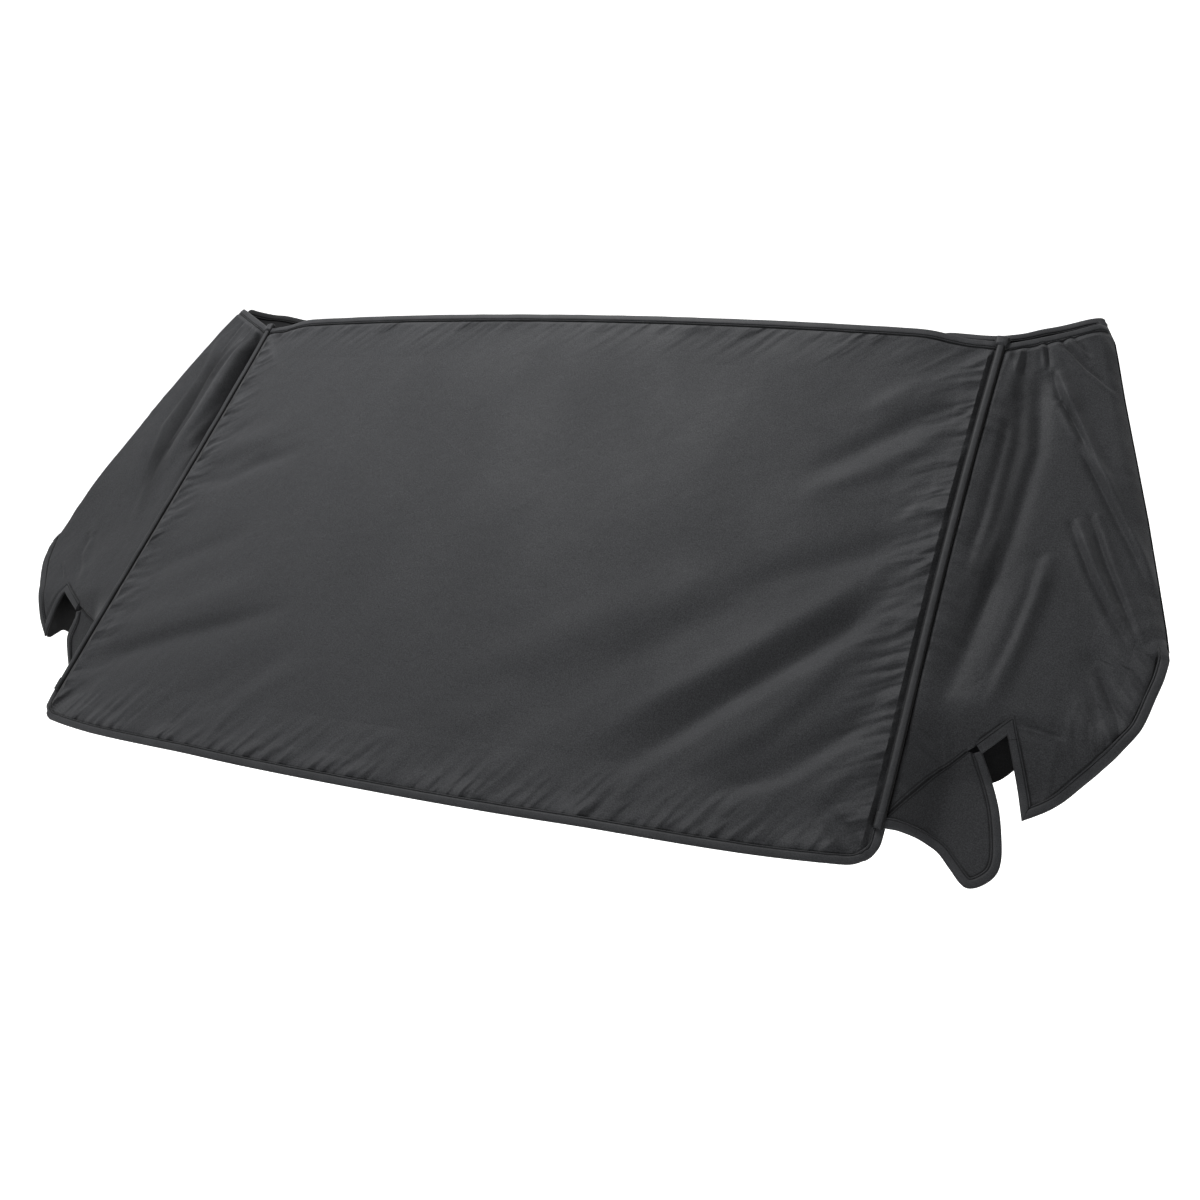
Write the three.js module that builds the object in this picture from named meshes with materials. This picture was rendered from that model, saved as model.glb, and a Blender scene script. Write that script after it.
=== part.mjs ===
// Fitted windscreen cover in dark polyester, as it hangs over a raked windscreen.
// One wide front panel, and on each side a wing over the door pillar, a mirror tongue
// below it and a door flap behind it. Every free edge is bound and each pillar seam is piped.
// Millimetres, +X to the cover's right as seen from the front, +Y to the rear, +Z up.
// The origin is midway between the two top corners of the front panel.
//
// Each piece is drawn flat, in pattern coordinates, and then laid on its draped surface:
//   front panel  (x, p)  x across, p down the rake from the top corners
//   wing, flap   (p, q)  p down the rake, q outward from the pillar seam
import * as THREE from 'three';

// Driving dimensions of the draped cover
const TOP_HALF_WIDTH = 741;
const BOTTOM_HALF_WIDTH = 779;
const PILLAR_LENGTH = 898;
const RAKE = THREE.MathUtils.degToRad(48);
const TOP_ARCH = 36.3;
const TOP_BOW = 60;
const BOTTOM_BOW = 98;
const BOW_POWER = 2.6;
const ARCH_POWER = 2.2;
const SEAM_BOW_IN = 7;
const SEAM_BOW_OUT = 1.5;
const SEAM_LEAN = 8;
const FOOT_TUCK = 8;
const FOOT_TUCK_POWER = 8;
const BOTTOM_CORNER_RADIUS = 26;

// The top edge of the panel rises quickly beside its corners
const SHOULDER_LIFT = 13;
const SHOULDER_POWER = 2.5;
const SHOULDER_START = 0.06;
const SHOULDER_END = 0.18;
const SHOULDER_DEPTH = 130;

// The foot of the panel arches up between its corners
const FOOT_ARCH = 13;
const FOOT_ARCH_START = 330;
const FOOT_ARCH_END = 740;
const FOOT_ARCH_TOP = 300;
const FOOT_ARCH_BASE = 850;

// Cloth and its edgings
const CLOTH = 2.5;
const GAP = 0.3;
const EDGE_GAP = 0.65;
const BINDING_WIDTH = 15;
const PIPING_HALF = 6.5;
const CLOTH_INSET = BINDING_WIDTH + EDGE_GAP;
const SEAM_INSET = PIPING_HALF + EDGE_GAP;
const TONGUE_INSET = BINDING_WIDTH + 1.4;
const TAB_OVERHANG = 2;
const TAPE_START = -8;
const PIPING_START = 9;
const PIPING_END = 822;
const TAB_END = 843;
const BINDING_START = 844.9;
const TOP_BINDING_CLEARANCE = 9;

// How the wing falls away from the plane of the front panel
const WING_FALL = 0.21;
const FALL_EVEN_START = 330;
const FALL_EVEN_END = 520;
const HEM_CURL = 45;
const HEM_CURL_START = 620;
const HEM_CURL_LENGTH = 110;
const HEM_CURL_SPREAD = 60;
const RIM_ROLL_DEPTH = 14;
const RIM_ROLL_WIDTH = 20;
const ROLL_FADE_START = 440;
const ROLL_FADE_END = 530;

// The top edge of a wing hangs down a little between the pillar and its rear corner
const TOP_SAG_SPAN = 140;
const TOP_SAG_START = 10;
const TOP_SAG_END = 160;

// Below the notch the tongue may swing inward about the seam and curl under toward its tip
const SWING_START = 690;
const SWING_END = 800;
const CURL_START = 740;
const CURL_RADIUS = 80;
const CURL_NEAR = 12;
const CURL_FAR = 70;

// The door flap hangs behind the wing and reaches in behind the front panel
const FLAP_GAP = 30;
const FLAP_GAP_SPREAD = 90;
const FLAP_INNER_SLOPE = 0.08;
const FLAP_BINDING_CLEARANCE = 10;
const RIM_SEAM = CLOTH + GAP;
const FLAP_LIP = 2.5;
const FLAP_TOP_GAP = 3.6;
const FLAP_TOP_GAP_START = -50;
const FLAP_TOP_GAP_END = 20;

const SEAM_FADE = 30;

// Main folds of the front panel: troughs are negative, ridges positive
const FRONT_FOLDS = [
  { x1: 741, p1: 121, x2: 506, p2: 312, width: 26, height: -8 },
  { x1: 728, p1: 60, x2: 560, p2: 190, width: 24, height: 7 },
  { x1: 720, p1: 175, x2: 500, p2: 355, width: 28, height: 6 },
  { x1: 721, p1: 372, x2: 443, p2: 529, width: 34, height: -7 },
  { x1: 701, p1: 432, x2: 300, p2: 805, width: 34, height: 9 },
  { x1: 712, p1: 469, x2: 350, p2: 834, width: 26, height: -10 },
  { x1: 715, p1: 545, x2: 470, p2: 815, width: 28, height: 6 },
  { x1: 745, p1: 662, x2: 520, p2: 838, width: 24, height: -9 },
  { x1: 751, p1: 735, x2: 660, p2: 830, width: 24, height: 6 },
  { x1: 547, p1: 475, x2: 89, p2: 777, width: 46, height: -7 },
  { x1: 470, p1: 450, x2: 40, p2: 730, width: 46, height: 6 },
  { x1: -722, p1: 378, x2: -440, p2: 285, width: 28, height: -7 },
  { x1: -722, p1: 335, x2: -520, p2: 260, width: 26, height: 5 },
  { x1: -748, p1: 601, x2: -448, p2: 447, width: 34, height: -5 },
  { x1: -768, p1: 795, x2: -250, p2: 581, width: 34, height: -8 },
  { x1: -745, p1: 735, x2: -330, p2: 560, width: 34, height: 6 },
  { x1: -486, p1: 862, x2: -213, p2: 647, width: 32, height: -6 },
];

// The two sides: how the wing falls, hangs and curls, the outlines of the wing, tongue and door
// flap as finished with binding, and the wing's main folds
const SIDES = [
  {
    name: 'right',
    sign: 1,
    upperFall: 0.21,
    topSag: 6,
    swing: 0,
    curl: 0,
    rear: [
      [-70, 141.5], [-46, 155], [-10, 167], [64, 190], [170, 224.5], [271, 256.5], [369, 284.7],
      [447, 306.4], [498, 318.5],
    ],
    hem: [
      [765, 163], [739, 196], [701.6, 230], [677, 254], [650.7, 277.6], [616, 299.2],
      [565, 311.5], [530, 317.5], [498, 318.5],
    ],
    notchApex: [659.5, 131],
    notchStart: [684.5, 102.8],
    wingFoot: [[818, 7.2], [790, 18.5], [743, 37.4], [721.8, 48], [708.8, 59], [689, 79]],
    tongue: [
      [838.5, 13], [834, 24], [830.5, 44], [838, 66], [857, 87], [873, 104], [877.5, 116],
      [870, 131], [852, 145.5], [830, 149], [799, 144], [757, 132.6], [720, 117], [683.5, 99],
    ],
    flapTop: [
      [-84, 136.5], [-92.5, 127], [-80.5, 86], [-67, 49], [-46, 10], [-38, -25], [-38, -95],
      [-30, -117],
    ],
    flapFoot: [[480, 308], [600, 258], [655, 208], [680, 148], [709, 110], [738, 30]],
    folds: [
      { p1: 20, q1: 62, p2: 420, q2: 66, width: 26, height: -9 },
      { p1: 380, q1: 70, p2: 690, q2: 34, width: 20, height: -9 },
      { p1: 364, q1: 136, p2: 670, q2: 86, width: 20, height: 7 },
      { p1: 32, q1: 90, p2: 310, q2: 245, width: 14, height: 6 },
      { p1: 300, q1: 161, p2: 519, q2: 295, width: 13, height: 5 },
      { p1: 89, q1: 122, p2: 240, q2: 215, width: 14, height: -5 },
      { p1: 500, q1: 215, p2: 640, q2: 268, width: 18, height: -5 },
    ],
  },
  {
    name: 'left',
    sign: -1,
    upperFall: 0.145,
    topSag: 0,
    swing: 30,
    curl: 1,
    rear: [
      [-71, 126], [-52, 143], [-23, 159.5], [0, 170.5], [60, 193], [155, 224], [265, 253],
      [360, 278], [435, 302], [500, 317],
    ],
    hem: [
      [702, 206], [677, 226], [650, 240], [622, 256], [598, 273], [574, 290], [545, 306], [500, 317],
    ],
    notchApex: [629, 165],
    notchStart: [660, 116.5],
    wingFoot: [[698, 7.2], [689, 31], [678, 57.7], [669, 78], [660, 92.5]],
    tongue: [
      [838.5, 13], [834, 24], [830.5, 44], [838, 66], [857, 87], [873, 104], [877.5, 116],
      [870, 131], [852, 145.5], [830, 149], [799, 147], [757, 140], [735, 136.5], [710, 134.5],
      [697, 128], [684, 118], [673, 112.5], [663.5, 112],
    ],
    flapTop: [
      [-73, 130], [-81.5, 121], [-76, 96], [-67.4, 34], [-54, -21], [-45.5, -59], [-36, -117],
    ],
    flapFoot: [
      [480, 308], [600, 285], [660, 258], [692, 232], [686, 203], [681, 177], [700, 120], [735, 30],
    ],
    folds: [
      { p1: -5, q1: 22, p2: 370, q2: 35, width: 13, height: -17 },
      { p1: -5, q1: 55, p2: 390, q2: 84, width: 20, height: 8 },
      { p1: 30, q1: 140, p2: 470, q2: 100, width: 24, height: -7 },
      { p1: 484, q1: 196, p2: 600, q2: 140, width: 20, height: -4 },
    ],
  },
];

// Mesh steps
const FRONT_COLUMNS = 40;
const FRONT_ROWS = 20;
const CORNER_STEPS = 6;
const TONGUE_COLUMNS = 18;
const FOOT_BIAS = 0.8;
const NOTCH_COLUMNS = 2;
const WING_REAR_COLUMNS = 8;
const WING_UPPER_ROWS = 14;
const WING_LOWER_ROWS = 4;
const TONGUE_ROWS = 8;
const FLAP_COLUMNS = 16;
const FLAP_ROWS = 14;
const PIPING_STEPS = 20;
const TAB_STEPS = 2;
const WING_BINDING_STEPS = 20;

// Where the wing's pattern is divided, as fractions of its top and rear edges
const NOTCH_LINE_TOP = 0.42;
const NOTCH_LINE_REAR_P = 400;
const RIM_SEARCH_STEPS = 6;
const HEM_END_CLEARANCE = 8;
const REAR_CELL_SHIFT = 0.25;
const APEX_LAP = 5;

// Sections of the edgings: l across from the outer edge, h above the cloth's mid-surface
const BINDING_SECTION = [
  { l: 0, h: -1.4 }, { l: 1.8, h: -2.6 }, { l: 13.2, h: -2.6 }, { l: 15, h: -1.4 },
  { l: 15, h: 1.6 }, { l: 13, h: 3.2 }, { l: 2, h: 3.2 }, { l: 0, h: 1.6 },
];
const PIPING_SECTION = [
  { l: -6.5, h: -1.8 }, { l: 6.5, h: -1.8 }, { l: 6.5, h: 2.2 }, { l: 4.6, h: 5 },
  { l: 1.6, h: 6.4 }, { l: -1.6, h: 6.4 }, { l: -4.6, h: 5 }, { l: -6.5, h: 2.2 },
];
const TAPE_SECTION = [
  { l: -8.4, h: -2.6 }, { l: 6.5, h: -2.6 }, { l: 6.5, h: 4.4 }, { l: 4, h: 7 },
  { l: -5, h: 7 }, { l: -8.4, h: 4.4 },
];
const TAB_SECTION = [
  { l: -6.5, h: -2.6 }, { l: 5.8, h: -2.6 }, { l: 5.8, h: 3 }, { l: 3.6, h: 7.2 },
  { l: -4, h: 7.2 }, { l: -6.5, h: 4 },
];

const RAKE_DOWN = new THREE.Vector3(0, -Math.cos(RAKE), -Math.sin(RAKE));
const RAKE_OUT = new THREE.Vector3(0, -Math.sin(RAKE), Math.cos(RAKE));
const ACROSS = new THREE.Vector3(1, 0, 0);

const { lerp, smoothstep } = THREE.MathUtils;
const vector2 = ([a, b]) => new THREE.Vector2(a, b);

// Height of a set of folds at a pattern point: a soft bell across each, tapered at its ends
function foldHeight(a, b, folds, columns) {
  const [a1, b1, a2, b2] = columns;
  let height = 0;
  for (const fold of folds) {
    const da = fold[a2] - fold[a1];
    const db = fold[b2] - fold[b1];
    const lengthSquared = da * da + db * db;
    const along = ((a - fold[a1]) * da + (b - fold[b1]) * db) / lengthSquared;
    if (along <= 0 || along >= 1) continue;
    const across = ((a - fold[a1]) * db - (b - fold[b1]) * da) / Math.sqrt(lengthSquared);
    const taper = smoothstep(along, 0, 0.2) * (1 - smoothstep(along, 0.65, 1));
    height += fold.height * taper * Math.exp(-((across / fold.width) ** 2));
  }
  return height;
}

// The pillar seam of the right side, p down from the top corner
function seamPoint(p) {
  const t = p / PILLAR_LENGTH;
  const bulge = 4 * t * (1 - t);
  const tuck = FOOT_TUCK * Math.max(t, 0) ** FOOT_TUCK_POWER;
  const x = lerp(TOP_HALF_WIDTH, BOTTOM_HALF_WIDTH, t) - SEAM_BOW_IN * bulge - tuck;
  return new THREE.Vector3(x, 0, 0)
    .addScaledVector(RAKE_DOWN, p)
    .addScaledVector(RAKE_OUT, SEAM_BOW_OUT * bulge + SEAM_LEAN * t);
}

// Lift of the panel beside its top corners, u being 1 at the seam
function shoulder(u, p) {
  const rise = u ** SHOULDER_POWER * smoothstep(1 - u, SHOULDER_START, SHOULDER_END);
  return SHOULDER_LIFT * Math.exp(-Math.max(p, 0) / SHOULDER_DEPTH) * rise;
}

// Pattern row lifted to the arched foot of the panel
function footRow(x, p) {
  const corner = smoothstep(Math.abs(x), FOOT_ARCH_START, FOOT_ARCH_END);
  return p - FOOT_ARCH * (1 - corner) * smoothstep(p, FOOT_ARCH_TOP, FOOT_ARCH_BASE);
}

// Draped front panel
function frontPoint(x, p) {
  const t = p / PILLAR_LENGTH;
  const seam = seamPoint(p);
  const u = Math.abs(x) / seam.x;
  const bow = lerp(TOP_BOW, BOTTOM_BOW, t) * (1 - u ** BOW_POWER);
  const arch = TOP_ARCH * (1 - t) * (1 - u ** ARCH_POWER) + shoulder(u, p);
  const fade = smoothstep(seam.x - Math.abs(x), 0, SEAM_FADE) * smoothstep(p, 0, SEAM_FADE)
    * smoothstep(PILLAR_LENGTH - p, 0, SEAM_FADE);
  const fold = fade * foldHeight(x, p, FRONT_FOLDS, ['x1', 'p1', 'x2', 'p2']);
  return new THREE.Vector3(x, seam.y - bow, seam.z + arch).addScaledVector(RAKE_OUT, fold);
}

// Rear edge of a wing as q for a given p
function rearEdge(side, p) {
  const rows = side.rear;
  let k = 0;
  while (k < rows.length - 2 && p > rows[k + 1][0]) k += 1;
  const [p1, q1] = rows[k];
  const [p2, q2] = rows[k + 1];
  return lerp(q1, q2, (p - p1) / (p2 - p1));
}

// How far a wing has fallen behind the plane of the panel
function wingFall(side, p, q) {
  const slope = lerp(side.upperFall, WING_FALL, smoothstep(p, FALL_EVEN_START, FALL_EVEN_END));
  const curl = HEM_CURL * smoothstep(p, HEM_CURL_START, HEM_CURL_START + HEM_CURL_LENGTH);
  return slope * q + curl * smoothstep(q, 0, HEM_CURL_SPREAD);
}

// How far a wing hangs down near its top edge
function topSag(side, p, q) {
  const s = Math.sqrt(THREE.MathUtils.clamp(q / TOP_SAG_SPAN, 0, 1));
  return side.topSag * 4 * s * (1 - s) * (1 - smoothstep(p, TOP_SAG_START, TOP_SAG_END));
}

// Draped wing, mirrored for the left side
function wingPoint(side, p, q) {
  const fromRim = rearEdge(side, p) - q;
  const roll = RIM_ROLL_DEPTH * Math.max(0, 1 - Math.max(0, fromRim) / RIM_ROLL_WIDTH) ** 2;
  const upper = 1 - smoothstep(p, ROLL_FADE_START, ROLL_FADE_END);
  const fold = smoothstep(q, 4, SEAM_FADE) * foldHeight(p, q, side.folds, ['p1', 'q1', 'p2', 'q2']);
  const swing = THREE.MathUtils.degToRad(side.swing) * smoothstep(p, SWING_START, SWING_END);
  const curled = side.curl * smoothstep(q, CURL_NEAR, CURL_FAR);
  const beyond = Math.max(0, p - CURL_START);
  const turn = beyond / CURL_RADIUS;
  const inward = q * Math.sin(swing) + curled * CURL_RADIUS * (1 - Math.cos(turn));
  const down = topSag(side, p, q) + curled * (CURL_RADIUS * Math.sin(turn) - beyond);
  const point = seamPoint(p)
    .addScaledVector(ACROSS, q * Math.cos(swing))
    .addScaledVector(RAKE_OUT, fold - wingFall(side, p, q) - roll * upper - inward)
    .addScaledVector(RAKE_DOWN, down);
  point.x *= side.sign;
  return point;
}

// Draped door flap, behind the wing and, for negative q, behind the front panel
function flapPoint(side, p, q) {
  const fromRim = Math.max(0, rearEdge(side, p) - q);
  const rim = RIM_ROLL_DEPTH + RIM_SEAM;
  const topGap = FLAP_TOP_GAP * (1 - smoothstep(p, FLAP_TOP_GAP_START, FLAP_TOP_GAP_END));
  const gap = lerp(rim, FLAP_GAP, smoothstep(fromRim, 0, FLAP_GAP_SPREAD)) + topGap;
  const fall = q > 0 ? wingFall(side, p, q) : FLAP_INNER_SLOPE * q;
  const point = seamPoint(p).addScaledVector(ACROSS, q).addScaledVector(RAKE_OUT, -fall - gap);
  point.x *= side.sign;
  return point;
}

// Strip of surface along the pillar seam, between the slopes of the panel and the wing
function seamStripPoint(side, p, q) {
  const point = seamPoint(p).addScaledVector(ACROSS, q).addScaledVector(RAKE_OUT, -WING_FALL * q);
  point.x *= side.sign;
  return point;
}

// A surface: its point for each pattern point, and the sign that turns its normals outward
const FRONT = { at: frontPoint, turn: -1 };

function sideSurface(side, pointAt) {
  return { at: (p, q) => pointAt(side, p, q), turn: side.sign };
}

// Point at height h above the outer side of a surface
function lifted({ at, turn }, a, b, h) {
  const step = 1;
  const alongA = at(a + step, b).sub(at(a - step, b));
  const alongB = at(a, b + step).sub(at(a, b - step));
  const normal = alongA.cross(alongB).normalize();
  return at(a, b).addScaledVector(normal, turn * h);
}

// Closed mesh from vertices and triangles, turned so that its faces point outward
function closedGeometry(vertices, triangles) {
  let volume = 0;
  for (const [a, b, c] of triangles) {
    volume += vertices[a].dot(new THREE.Vector3().crossVectors(vertices[b], vertices[c]));
  }
  const index = triangles.flatMap(([a, b, c]) => (volume < 0 ? [a, c, b] : [a, b, c]));
  const geometry = new THREE.BufferGeometry().setFromPoints(vertices);
  geometry.setIndex(index);
  geometry.computeVertexNormals();
  return geometry;
}

// Cloth sheet: a grid of pattern points laid on a surface and given the cloth's thickness.
// hasCell says which cells of the grid are cloth, so that a notch stays open.
function clothGeometry(grid, surface, hasCell = () => true) {
  const columns = grid.length - 1;
  const rows = grid[0].length - 1;
  const ids = new Map();
  const vertices = [];
  const vertexId = (i, j) => {
    const key = `${i},${j}`;
    if (!ids.has(key)) {
      const { x, y } = grid[i][j];
      ids.set(key, vertices.length);
      vertices.push(lifted(surface, x, y, CLOTH / 2), lifted(surface, x, y, -CLOTH / 2));
    }
    return ids.get(key);
  };
  const triangles = [];
  const edges = new Map();
  for (let i = 0; i < columns; i += 1) {
    for (let j = 0; j < rows; j += 1) {
      if (!hasCell(i, j)) continue;
      const corners = [vertexId(i, j), vertexId(i + 1, j), vertexId(i + 1, j + 1), vertexId(i, j + 1)];
      const [a, b, c, d] = corners;
      triangles.push([a, b, c], [a, c, d], [a + 1, c + 1, b + 1], [a + 1, d + 1, c + 1]);
      corners.forEach((from, k) => {
        const to = corners[(k + 1) % corners.length];
        const twin = `${to},${from}`;
        if (edges.has(twin)) edges.delete(twin);
        else edges.set(`${from},${to}`, [from, to]);
      });
    }
  }
  for (const [from, to] of edges.values()) {
    triangles.push([from, from + 1, to + 1], [from, to + 1, to]);
  }
  return closedGeometry(vertices, triangles);
}

// Unit mitre directions of an outline, pointing to its inner side
function mitres(path, inward) {
  return path.map((point, k) => {
    const before = path[Math.max(0, k - 1)];
    const after = path[Math.min(path.length - 1, k + 1)];
    const first = point.clone().sub(before).normalize();
    const second = after.clone().sub(point).normalize();
    if (k === 0) first.copy(second);
    if (k === path.length - 1) second.copy(first);
    const normal = new THREE.Vector2(-first.y - second.y, first.x + second.x).normalize();
    const stretch = 1 / Math.max(0.35, normal.dot(new THREE.Vector2(-first.y, first.x)));
    return normal.multiplyScalar(inward * stretch);
  });
}

function inset(path, inward, distance) {
  const directions = mitres(path, inward);
  return path.map((point, k) => point.clone().addScaledVector(directions[k], distance));
}

// Edging: a section carried along an outline and laid on a surface
function edgingGeometry(path, inward, surface, section) {
  const directions = mitres(path, inward);
  const count = section.length;
  const vertices = [];
  path.forEach((point, k) => {
    for (const { l, h } of section) {
      const { x, y } = point.clone().addScaledVector(directions[k], l);
      vertices.push(lifted(surface, x, y, h));
    }
  });
  const triangles = [];
  for (let k = 0; k < path.length - 1; k += 1) {
    for (let m = 0; m < count; m += 1) {
      const a = k * count + m;
      const b = k * count + ((m + 1) % count);
      triangles.push([a, b, b + count], [a, b + count, a + count]);
    }
  }
  const last = (path.length - 1) * count;
  for (let m = 1; m < count - 1; m += 1) {
    triangles.push([0, m + 1, m], [last, last + m, last + m + 1]);
  }
  return closedGeometry(vertices, triangles);
}

// Points spaced evenly along a smooth curve through the rows of a table
function smoothPath(rows, steps) {
  return new THREE.SplineCurve(rows.map(vector2)).getSpacedPoints(steps);
}

// Seam of the tongue to the wing, with its points drawn toward the notch
function footPath(side) {
  const curve = new THREE.SplineCurve(side.wingFoot.map(vector2));
  const fractions = Array.from({ length: TONGUE_COLUMNS + 1 }, (_, k) => k / TONGUE_COLUMNS);
  return fractions.map((fraction) => curve.getPointAt(fraction ** FOOT_BIAS));
}

function straightPath(from, to, steps) {
  return Array.from({ length: steps + 1 }, (_, k) => from.clone().lerp(to, k / steps));
}

// Coons patch between four rows of boundary points: top and bottom run along i, left and right along j
function patch(top, bottom, left, right) {
  const columns = top.length - 1;
  const rows = left.length - 1;
  return top.map((_, i) => left.map((__, j) => {
    const s = i / columns;
    const t = j / rows;
    const across = top[i].clone().lerp(bottom[i], t);
    const down = left[j].clone().lerp(right[j], s);
    const corners = top[0].clone().lerp(top[columns], s)
      .lerp(bottom[0].clone().lerp(bottom[columns], s), t);
    return across.add(down).sub(corners);
  }));
}

const FABRIC = { color: 0x46464a, roughness: 0.78, metalness: 0 };
const BINDING = { color: 0x3c3c3f, roughness: 0.7, metalness: 0 };
const LINING_SIDE = { color: 0x303032, roughness: 0.85, metalness: 0 };

const cover = new THREE.Group();

function addPiece(name, geometry, finish) {
  const mesh = new THREE.Mesh(geometry, new THREE.MeshStandardMaterial(finish));
  mesh.name = name;
  cover.add(mesh);
}

// Front panel, with rounded bottom corners
function frontRows() {
  const start = CLOTH_INSET;
  const end = PILLAR_LENGTH - CLOTH_INSET;
  const bend = end - BOTTOM_CORNER_RADIUS;
  const rows = [];
  for (let j = 0; j <= FRONT_ROWS; j += 1) rows.push({ p: lerp(start, bend, j / FRONT_ROWS), cut: 0 });
  for (let k = 1; k <= CORNER_STEPS; k += 1) {
    const angle = (k / CORNER_STEPS) * (Math.PI / 2);
    rows.push({
      p: bend + BOTTOM_CORNER_RADIUS * Math.sin(angle),
      cut: BOTTOM_CORNER_RADIUS * (1 - Math.cos(angle)),
    });
  }
  return { rows, bend };
}

function addFrontPanel() {
  const { rows, bend } = frontRows();
  const grid = Array.from({ length: FRONT_COLUMNS + 1 }, (_, i) => rows.map(({ p, cut }) => {
    const half = seamPoint(Math.min(p, bend)).x - SEAM_INSET - cut;
    const x = lerp(-half, half, i / FRONT_COLUMNS);
    return new THREE.Vector2(x, footRow(x, p));
  }));
  addPiece('windscreen_panel', clothGeometry(grid, FRONT), FABRIC);

  const topHalf = TOP_HALF_WIDTH - TOP_BINDING_CLEARANCE;
  const topPath = straightPath(vector2([-topHalf, 0]), vector2([topHalf, 0]), FRONT_COLUMNS);
  addPiece('top_binding', edgingGeometry(topPath, 1, FRONT, BINDING_SECTION), BINDING);

  addPiece('bottom_binding', edgingGeometry(bottomOutline(), -1, FRONT, BINDING_SECTION), BINDING);
}

// Outer edge of the bottom binding, from the left tab down, across and up to the right tab
function bottomOutline() {
  const radius = BOTTOM_CORNER_RADIUS + CLOTH_INSET;
  const overhang = BINDING_WIDTH - PIPING_HALF;
  const outerX = (p) => seamPoint(p).x + overhang;
  const bend = PILLAR_LENGTH - radius;
  const centreX = outerX(bend) - radius;
  const left = [new THREE.Vector2(-outerX(BINDING_START), BINDING_START)];
  for (let k = 0; k <= CORNER_STEPS; k += 1) {
    const angle = (k / CORNER_STEPS) * (Math.PI / 2);
    const x = -centreX - radius * Math.cos(angle);
    left.push(new THREE.Vector2(x, bend + radius * Math.sin(angle)));
  }
  const right = left.map(({ x, y }) => new THREE.Vector2(-x, y)).reverse();
  const between = straightPath(left[left.length - 1], right[0], FRONT_COLUMNS).slice(1, -1);
  return [...left, ...between, ...right].map(({ x, y }) => new THREE.Vector2(x, footRow(x, y)));
}

// Piping on the pillar seam, its tape at the top corner and its overlapping tab at the foot
function addPillarSeam(side) {
  const surface = sideSurface(side, seamStripPoint);
  const addStrip = (name, from, to, steps, section) => {
    const path = straightPath(new THREE.Vector2(from, 0), new THREE.Vector2(to, 0), steps);
    addPiece(`${name}_${side.name}`, edgingGeometry(path, 1, surface, section), BINDING);
  };
  addStrip('pillar_piping', PIPING_START, PIPING_END, PIPING_STEPS, PIPING_SECTION);
  addStrip('corner_tape', TAPE_START, PIPING_START - GAP, TAB_STEPS, TAPE_SECTION);
  addStrip('piping_tab', PIPING_END + GAP, TAB_END, TAB_STEPS, TAB_SECTION);
}

// Pattern grid of a wing: columns run from the pillar seam to the rear edge, rows from top to hem.
// The columns in front of the notch stop at the tongue seam.
function wingGrid(side, clothEdge) {
  const rearAt = (p) => new THREE.Vector2(p, rearEdge(side, p));
  const topOutline = [new THREE.Vector2(0, 0), vector2(side.rear[0])];
  const [topFront, topRear] = inset(topOutline, -1, CLOTH_INSET);
  const topSlope = (topRear.x - topFront.x) / (topRear.y - topFront.y);
  const topAt = (q) => new THREE.Vector2(topFront.x + topSlope * (q - topFront.y), q);
  const cornerTop = topAt(SEAM_INSET);
  let cornerRear = topRear;
  for (let k = 0; k < RIM_SEARCH_STEPS; k += 1) cornerRear = topAt(rearEdge(side, cornerRear.x));
  const topNotch = cornerTop.clone().lerp(cornerRear, NOTCH_LINE_TOP);

  const apex = clothEdge[1];
  const foot = footPath(side);
  const frontBottom = [...foot, ...straightPath(clothEdge[0], apex, NOTCH_COLUMNS)];
  const frontColumns = frontBottom.length - 1;
  const seamSide = straightPath(cornerTop, foot[0], WING_UPPER_ROWS);
  const notchLine = straightPath(topNotch, apex, WING_UPPER_ROWS);
  const frontTop = straightPath(cornerTop, topNotch, frontColumns);
  const frontPart = patch(frontTop, frontBottom, seamSide, notchLine);

  const rearUpper = straightPath(cornerRear, rearAt(NOTCH_LINE_REAR_P), WING_UPPER_ROWS)
    .map(({ x }, j) => (j === 0 ? cornerRear : rearAt(x)));
  const middle = straightPath(apex, rearUpper[WING_UPPER_ROWS], WING_REAR_COLUMNS);
  const rearPart = patch(straightPath(topNotch, cornerRear, WING_REAR_COLUMNS), middle, notchLine, rearUpper);

  const notchSide = clothEdge.slice(1, 2 + WING_LOWER_ROWS);
  const clothHem = clothEdge.slice(1 + WING_LOWER_ROWS);
  const rearLower = straightPath(rearUpper[WING_UPPER_ROWS], clothHem.at(-1), WING_LOWER_ROWS);
  const lowerPart = patch(middle, clothHem, notchSide, rearLower);
  const rearLast = rearAt(side.hem.at(-1)[0] - HEM_END_CLEARANCE);
  for (let j = 1; j < WING_LOWER_ROWS; j += 1) {
    const { x } = rearLower[0].clone().lerp(rearLast, j / (WING_LOWER_ROWS - 1));
    lowerPart[WING_REAR_COLUMNS][j] = rearAt(x);
    lowerPart[WING_REAR_COLUMNS - 1][j].lerp(middle[WING_REAR_COLUMNS - 1], REAR_CELL_SHIFT);
  }

  const columns = frontColumns + WING_REAR_COLUMNS;
  const rows = WING_UPPER_ROWS + WING_LOWER_ROWS;
  const pointAt = (i, j) => {
    if (j <= WING_UPPER_ROWS) return i <= frontColumns ? frontPart[i][j] : rearPart[i - frontColumns][j];
    return i < frontColumns ? frontBottom[i] : lowerPart[i - frontColumns][j - WING_UPPER_ROWS];
  };
  const grid = Array.from({ length: columns + 1 }, (_, i) => (
    Array.from({ length: rows + 1 }, (__, j) => pointAt(i, j))
  ));
  return { grid, frontColumns };
}

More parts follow.
